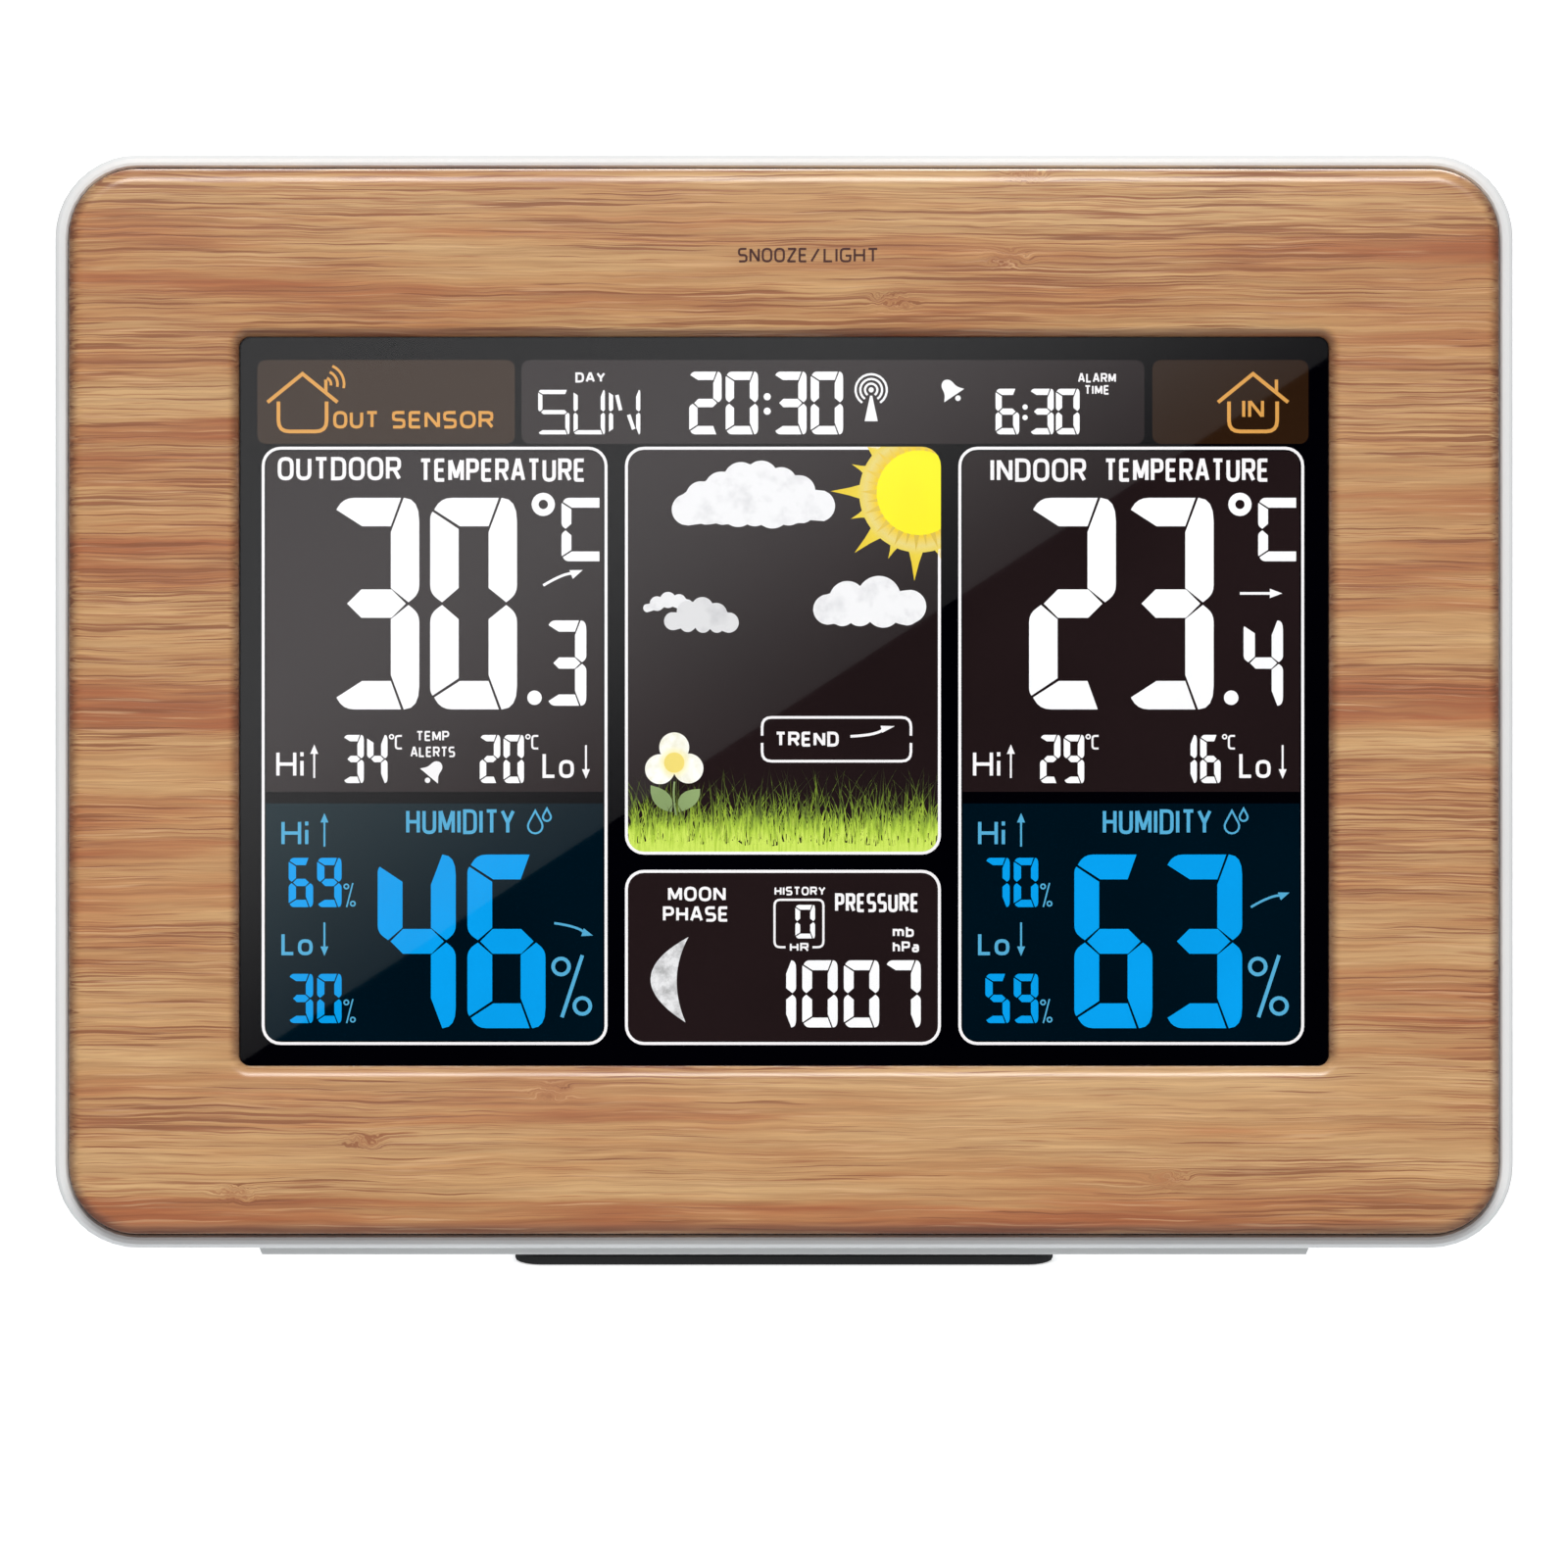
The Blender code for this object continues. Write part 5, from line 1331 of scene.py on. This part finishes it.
def make_grass():
    """A bright tuft along the picture's foot, before taller, thinner and darker blades."""
    left, right, floor = PICTURE[0] + LINE / 2, PICTURE[1] - LINE / 2, PICTURE[2] + LINE / 2
    chance = random.Random(8)
    far = Print(PRINT_DEPTH, thick=0.012)
    blades(far, chance, 330, (4.5, 10.5), 0.09, floor, floor + 11.8)
    shapes("tall_grass", grass_print("tall_grass_print", floor, floor + 11.5, 0.72), far)
    near = Print(OVER_DEPTH, thick=0.012)
    turf = [(left, floor), (right, floor)]
    steps = 60
    for i in range(steps + 1):
        turf.append((right - (right - left) * i / steps, floor + 1.2 + chance.uniform(-0.5, 0.5)))
    near.area(clipped(turf, panel_outline(PICTURE)))
    blades(near, chance, 430, (2.0, 5.6), 0.12, floor, floor + 8.0)
    shapes("short_grass", grass_print("short_grass_print", floor, floor + 8.5), near)


def make_frame_print():
    """The words for the touch area, printed on the bamboo above the window."""
    words = Print(FRAME_LOW.y, thick=0.02)
    for word, left, right in (("SNOOZE", -6.3, 3.2), ("/", 3.6, 4.9), ("LIGHT", 5.4, 12.9)):
        words.caption(word, left, right, 60.0, 62.0, 0.3)
    shapes("touch_words", INK, words)


# ---- case, stand and back ----


# The word beside each key, and its width.
KEY_LEGENDS = {
    "memory": ("MEM", 6.2),
    "channel": ("CH", 3.6),
    "alert": ("ALERT", 8.4),
    "down": ("-", 2.0),
    "up": ("+", 2.0),
    "mode": ("MODE", 7.6),
}


def make_legends():
    """Plain words beside the keys, and the socket's polarity sign."""
    layer = Print(box_of("rating_label")[0].y + 0.2, thick=-0.02, side=-1)
    for node, (word, width) in KEY_LEGENDS.items():
        low, high = box_of(f"key_{node}")
        middle = (low.z + high.z) / 2
        left = 2.4 - low.x
        layer.caption(word, left, left + width, middle - 1.1, middle + 1.1, 0.3)
    low, high = box_of("power_jack")
    x = -(low.x + high.x) / 2
    z = (low.z + high.z) / 2 - 8.0
    layer.line(arc((x, z), 1.1, 40, 320, 14), 0.26)
    layer.dot((x, z), 0.4, 12)
    for sign, ring_x, ends in (("-", x - 3.5, (x - 1.3, x - 2.4)), ("+", x + 3.5, (x + 0.3, x + 2.4))):
        layer.line([(end, z) for end in ends], 0.26)
        layer.ring((ring_x, z), 1.1, 0.24)
        layer.caption(sign, ring_x - 0.55, ring_x + 0.55, z - 0.9, z + 0.9, 0.24)
    shapes("back_legends", GREY_INK, layer)


def make_label_rows():
    """A border and empty fields on the label."""
    low, high = box_of("rating_label")
    layer = Print(high.y, thick=-0.012, side=-1)
    left, right, bottom, top = -high.x, -low.x, low.z, high.z
    layer.line(box_outline((left, right, bottom, top), 2.0, 1.2), 0.25, closed=True)
    for share in (0.3, 0.5, 0.7):
        z = bottom + share * (top - bottom)
        layer.line([(left + 3.5, z), (right - 3.5, z)], 0.2)
    layer.line([(left + 16, bottom + 4.0), (left + 16, top - 4.0)], 0.2)
    shapes("label_rows", GREY_INK, layer)


def make_door_arrow():
    """A plain triangle that points to the battery door's latch."""
    low, high = box_of("battery_door")
    layer = Print(high.y, thick=-0.02, side=-1)
    x = -(low.x + high.x) / 2
    layer.area([(x - 2.2, high.z - 9.0), (x + 2.2, high.z - 9.0), (x, high.z - 5.6)])
    piece("door_arrow", layer.bm, GREY_INK, BODY_OF["battery_door"], sharp=0)


def make_mouldings():
    moulding("case_shell", "rear_case", WHITE_ABS, 0.22)
    moulding("stand_frame", "stand", WHITE_ABS, 0.45, segments=3)
    moulding("door_panel", "battery_door", WHITE_ABS, 0.2)
    moulding("stand_sole", "stand_foot", RUBBER, 0.3)
    moulding("base_sole", "base_foot", RUBBER, 0.25)
    moulding("adapter_socket", "power_jack", FINISHES["black_abs"], 0.15)
    moulding("label_sheet", "rating_label", FINISHES["label"], 0.05)
    for node in frame["nodes"]:
        for start, ending, finish, edge in (
            ("key_", "_cap", KEY_GREY, 0.18),
            ("case_screw_", "_pan", STEEL, 0.12),
            ("hinge_pin_", "_rod", STEEL, 0.15),
        ):
            if node.startswith(start):
                moulding(node + ending, node, finish, edge)


def dress_inner_nodes():
    """The nodes that keep their CAD shape take the finish of their slot."""
    for node, obj in frame["nodes"].items():
        if not obj.hide_render:
            finish = FINISHES[SLOT_OF[node]]
            if obj.material_slots:
                obj.material_slots[0].material = finish
            else:
                obj.data.materials.append(finish)


# ---- studio ----

VIEW_WIDTH = 214.77 * MM  # what the camera takes in, at the plane of the window
VIEW_DISTANCE = 1.5  # from the camera to that plane
VIEW_PLANE = 3.0 * MM  # how far that plane is behind the frame's face
CAMERA_SHIFT = -0.0527  # puts the station as high in the picture as in the photo


def make_camera():
    """The camera looks straight at the display, along its normal."""
    camera = bpy.data.cameras.new("camera")
    camera.sensor_width = 36.0
    camera.lens = camera.sensor_width * VIEW_DISTANCE / VIEW_WIDTH
    camera.shift_y = CAMERA_SHIFT
    camera.clip_start = 0.01
    camera.clip_end = 100
    obj = linked("camera", camera)
    back = Matrix.Translation((0, VIEW_PLANE - VIEW_DISTANCE, 0))
    obj.matrix_world = DISPLAY @ back @ Matrix.Rotation(math.pi / 2, 4, "X")
    bpy.context.scene.camera = obj


def make_floor():
    """A pale floor. It neither lights the station nor shows in its lens."""
    s = Surface("pale_floor", roughness=0.7)
    pale = s.mottled(s.noise(0.01), srgb(238, 238, 238), srgb(243, 243, 243))
    s.set("Base Color", pale)
    s.set("Emission Color", pale)
    s.set("Emission Strength", 0.6)
    bm = bmesh.new()
    bmesh.ops.create_grid(bm, x_segments=1, y_segments=1, size=7)
    floor = placed("floor", bm, Matrix.Translation((0, 0, -0.0001)))
    floor.data.materials.append(s.material)
    floor.visible_diffuse = False
    floor.visible_glossy = False


def make_glare():
    """A large soft panel behind the camera. The lens mirrors it as a sheen with a slanting edge."""
    far = 3.0
    spread = 1 + far / VIEW_DISTANCE  # how much larger the panel is than its reflection in the lens
    # The sheen on the lens, in millimetres: its edge's slope and height at the middle, and its extent.
    slope = 0.648
    rise = -1.2
    reach = 130
    top = 160
    outline = [(-reach, rise - slope * reach), (reach, rise + slope * reach), (reach, top), (-reach, top)]
    bm = bmesh.new()
    bm.faces.new([bm.verts.new((x * spread * MM, -far, z * spread * MM)) for x, z in outline])
    panel = placed("glare_panel", bm, DISPLAY)
    material, n = bare_material("glare_panel")
    above = n.measure("DOT_PRODUCT", n.display_place(spread * MM), (-slope, 0, 1))
    n.show(n.node("Emission", 0, {"Strength": n.ramp(above, rise - 10, 50, 0.09, 0.51)}))
    panel.data.materials.append(material)
    panel.visible_camera = False
    panel.visible_diffuse = False
    panel.visible_shadow = False


def make_light(name, kind, energy, place, **settings):
    """A light at a place, which shines at the origin."""
    light = bpy.data.lights.new(name, kind)
    light.energy = energy
    for setting, value in settings.items():
        setattr(light, setting, value)
    obj = linked(name, light)
    obj.location = place
    obj.rotation_mode = "QUATERNION"
    obj.rotation_quaternion = (-Vector(place)).to_track_quat("-Z", "Y")


def make_world():
    """Brighter above, and dark where the camera stands, so that the lens mirrors only the glare panel.

    From below comes the light that a pale table throws back, which the lens doesn't mirror.
    """
    world = bpy.data.worlds.new("studio")
    world.use_nodes = True
    n = Nodes(world.node_tree)
    direction = n.node("TexCoord", "Generated")
    height = n.part("Z", direction)
    facing = n.measure("DOT_PRODUCT", direction, DISPLAY.to_3x3() @ Vector((0, -1, 0)))
    bounce = n.times(n.ramp(height, -0.8, 0.1, 1.36, 0.0), n.node("LightPath", "Is Diffuse Ray"))
    strength = n.plus(n.ramp(height, 0.0, 0.9, 0.14, 0.44), bounce)
    strength = n.times(strength, n.ramp(facing, 0.8, 0.95, 1.0, 0.0))
    sky = n.node("Background", 0, {"Color": (0.94, 0.97, 1.0, 1), "Strength": strength})
    backdrop = n.node("Background", 0, {"Color": (1, 1, 1, 1), "Strength": 1.1})
    seen = n.node("LightPath", "Is Camera Ray")
    n.show(n.node("MixShader", 0, {0: seen, 1: sky, 2: backdrop}), "World Output")
    bpy.context.scene.world = world


def make_lights():
    make_light("soft_sun", "SUN", 2.75, (0.0, -2.0, 2.4), angle=math.radians(30))
    make_light("back_fill", "AREA", 15, (0.3, 1.8, 1.2), shape="RECTANGLE", size=1.2, size_y=0.72)
    make_world()
    bpy.context.scene.view_settings.view_transform = "Standard"


make_front_frame()
make_window()
make_fills()
make_borders()
make_readings()
make_top_row()
make_pressure_panel()
make_clouds()
make_sun()
make_trend_box()
make_flower()
make_grass()
make_frame_print()
make_legends()
make_label_rows()
make_door_arrow()
make_mouldings()
dress_inner_nodes()
make_camera()
make_floor()
make_glare()
make_lights()
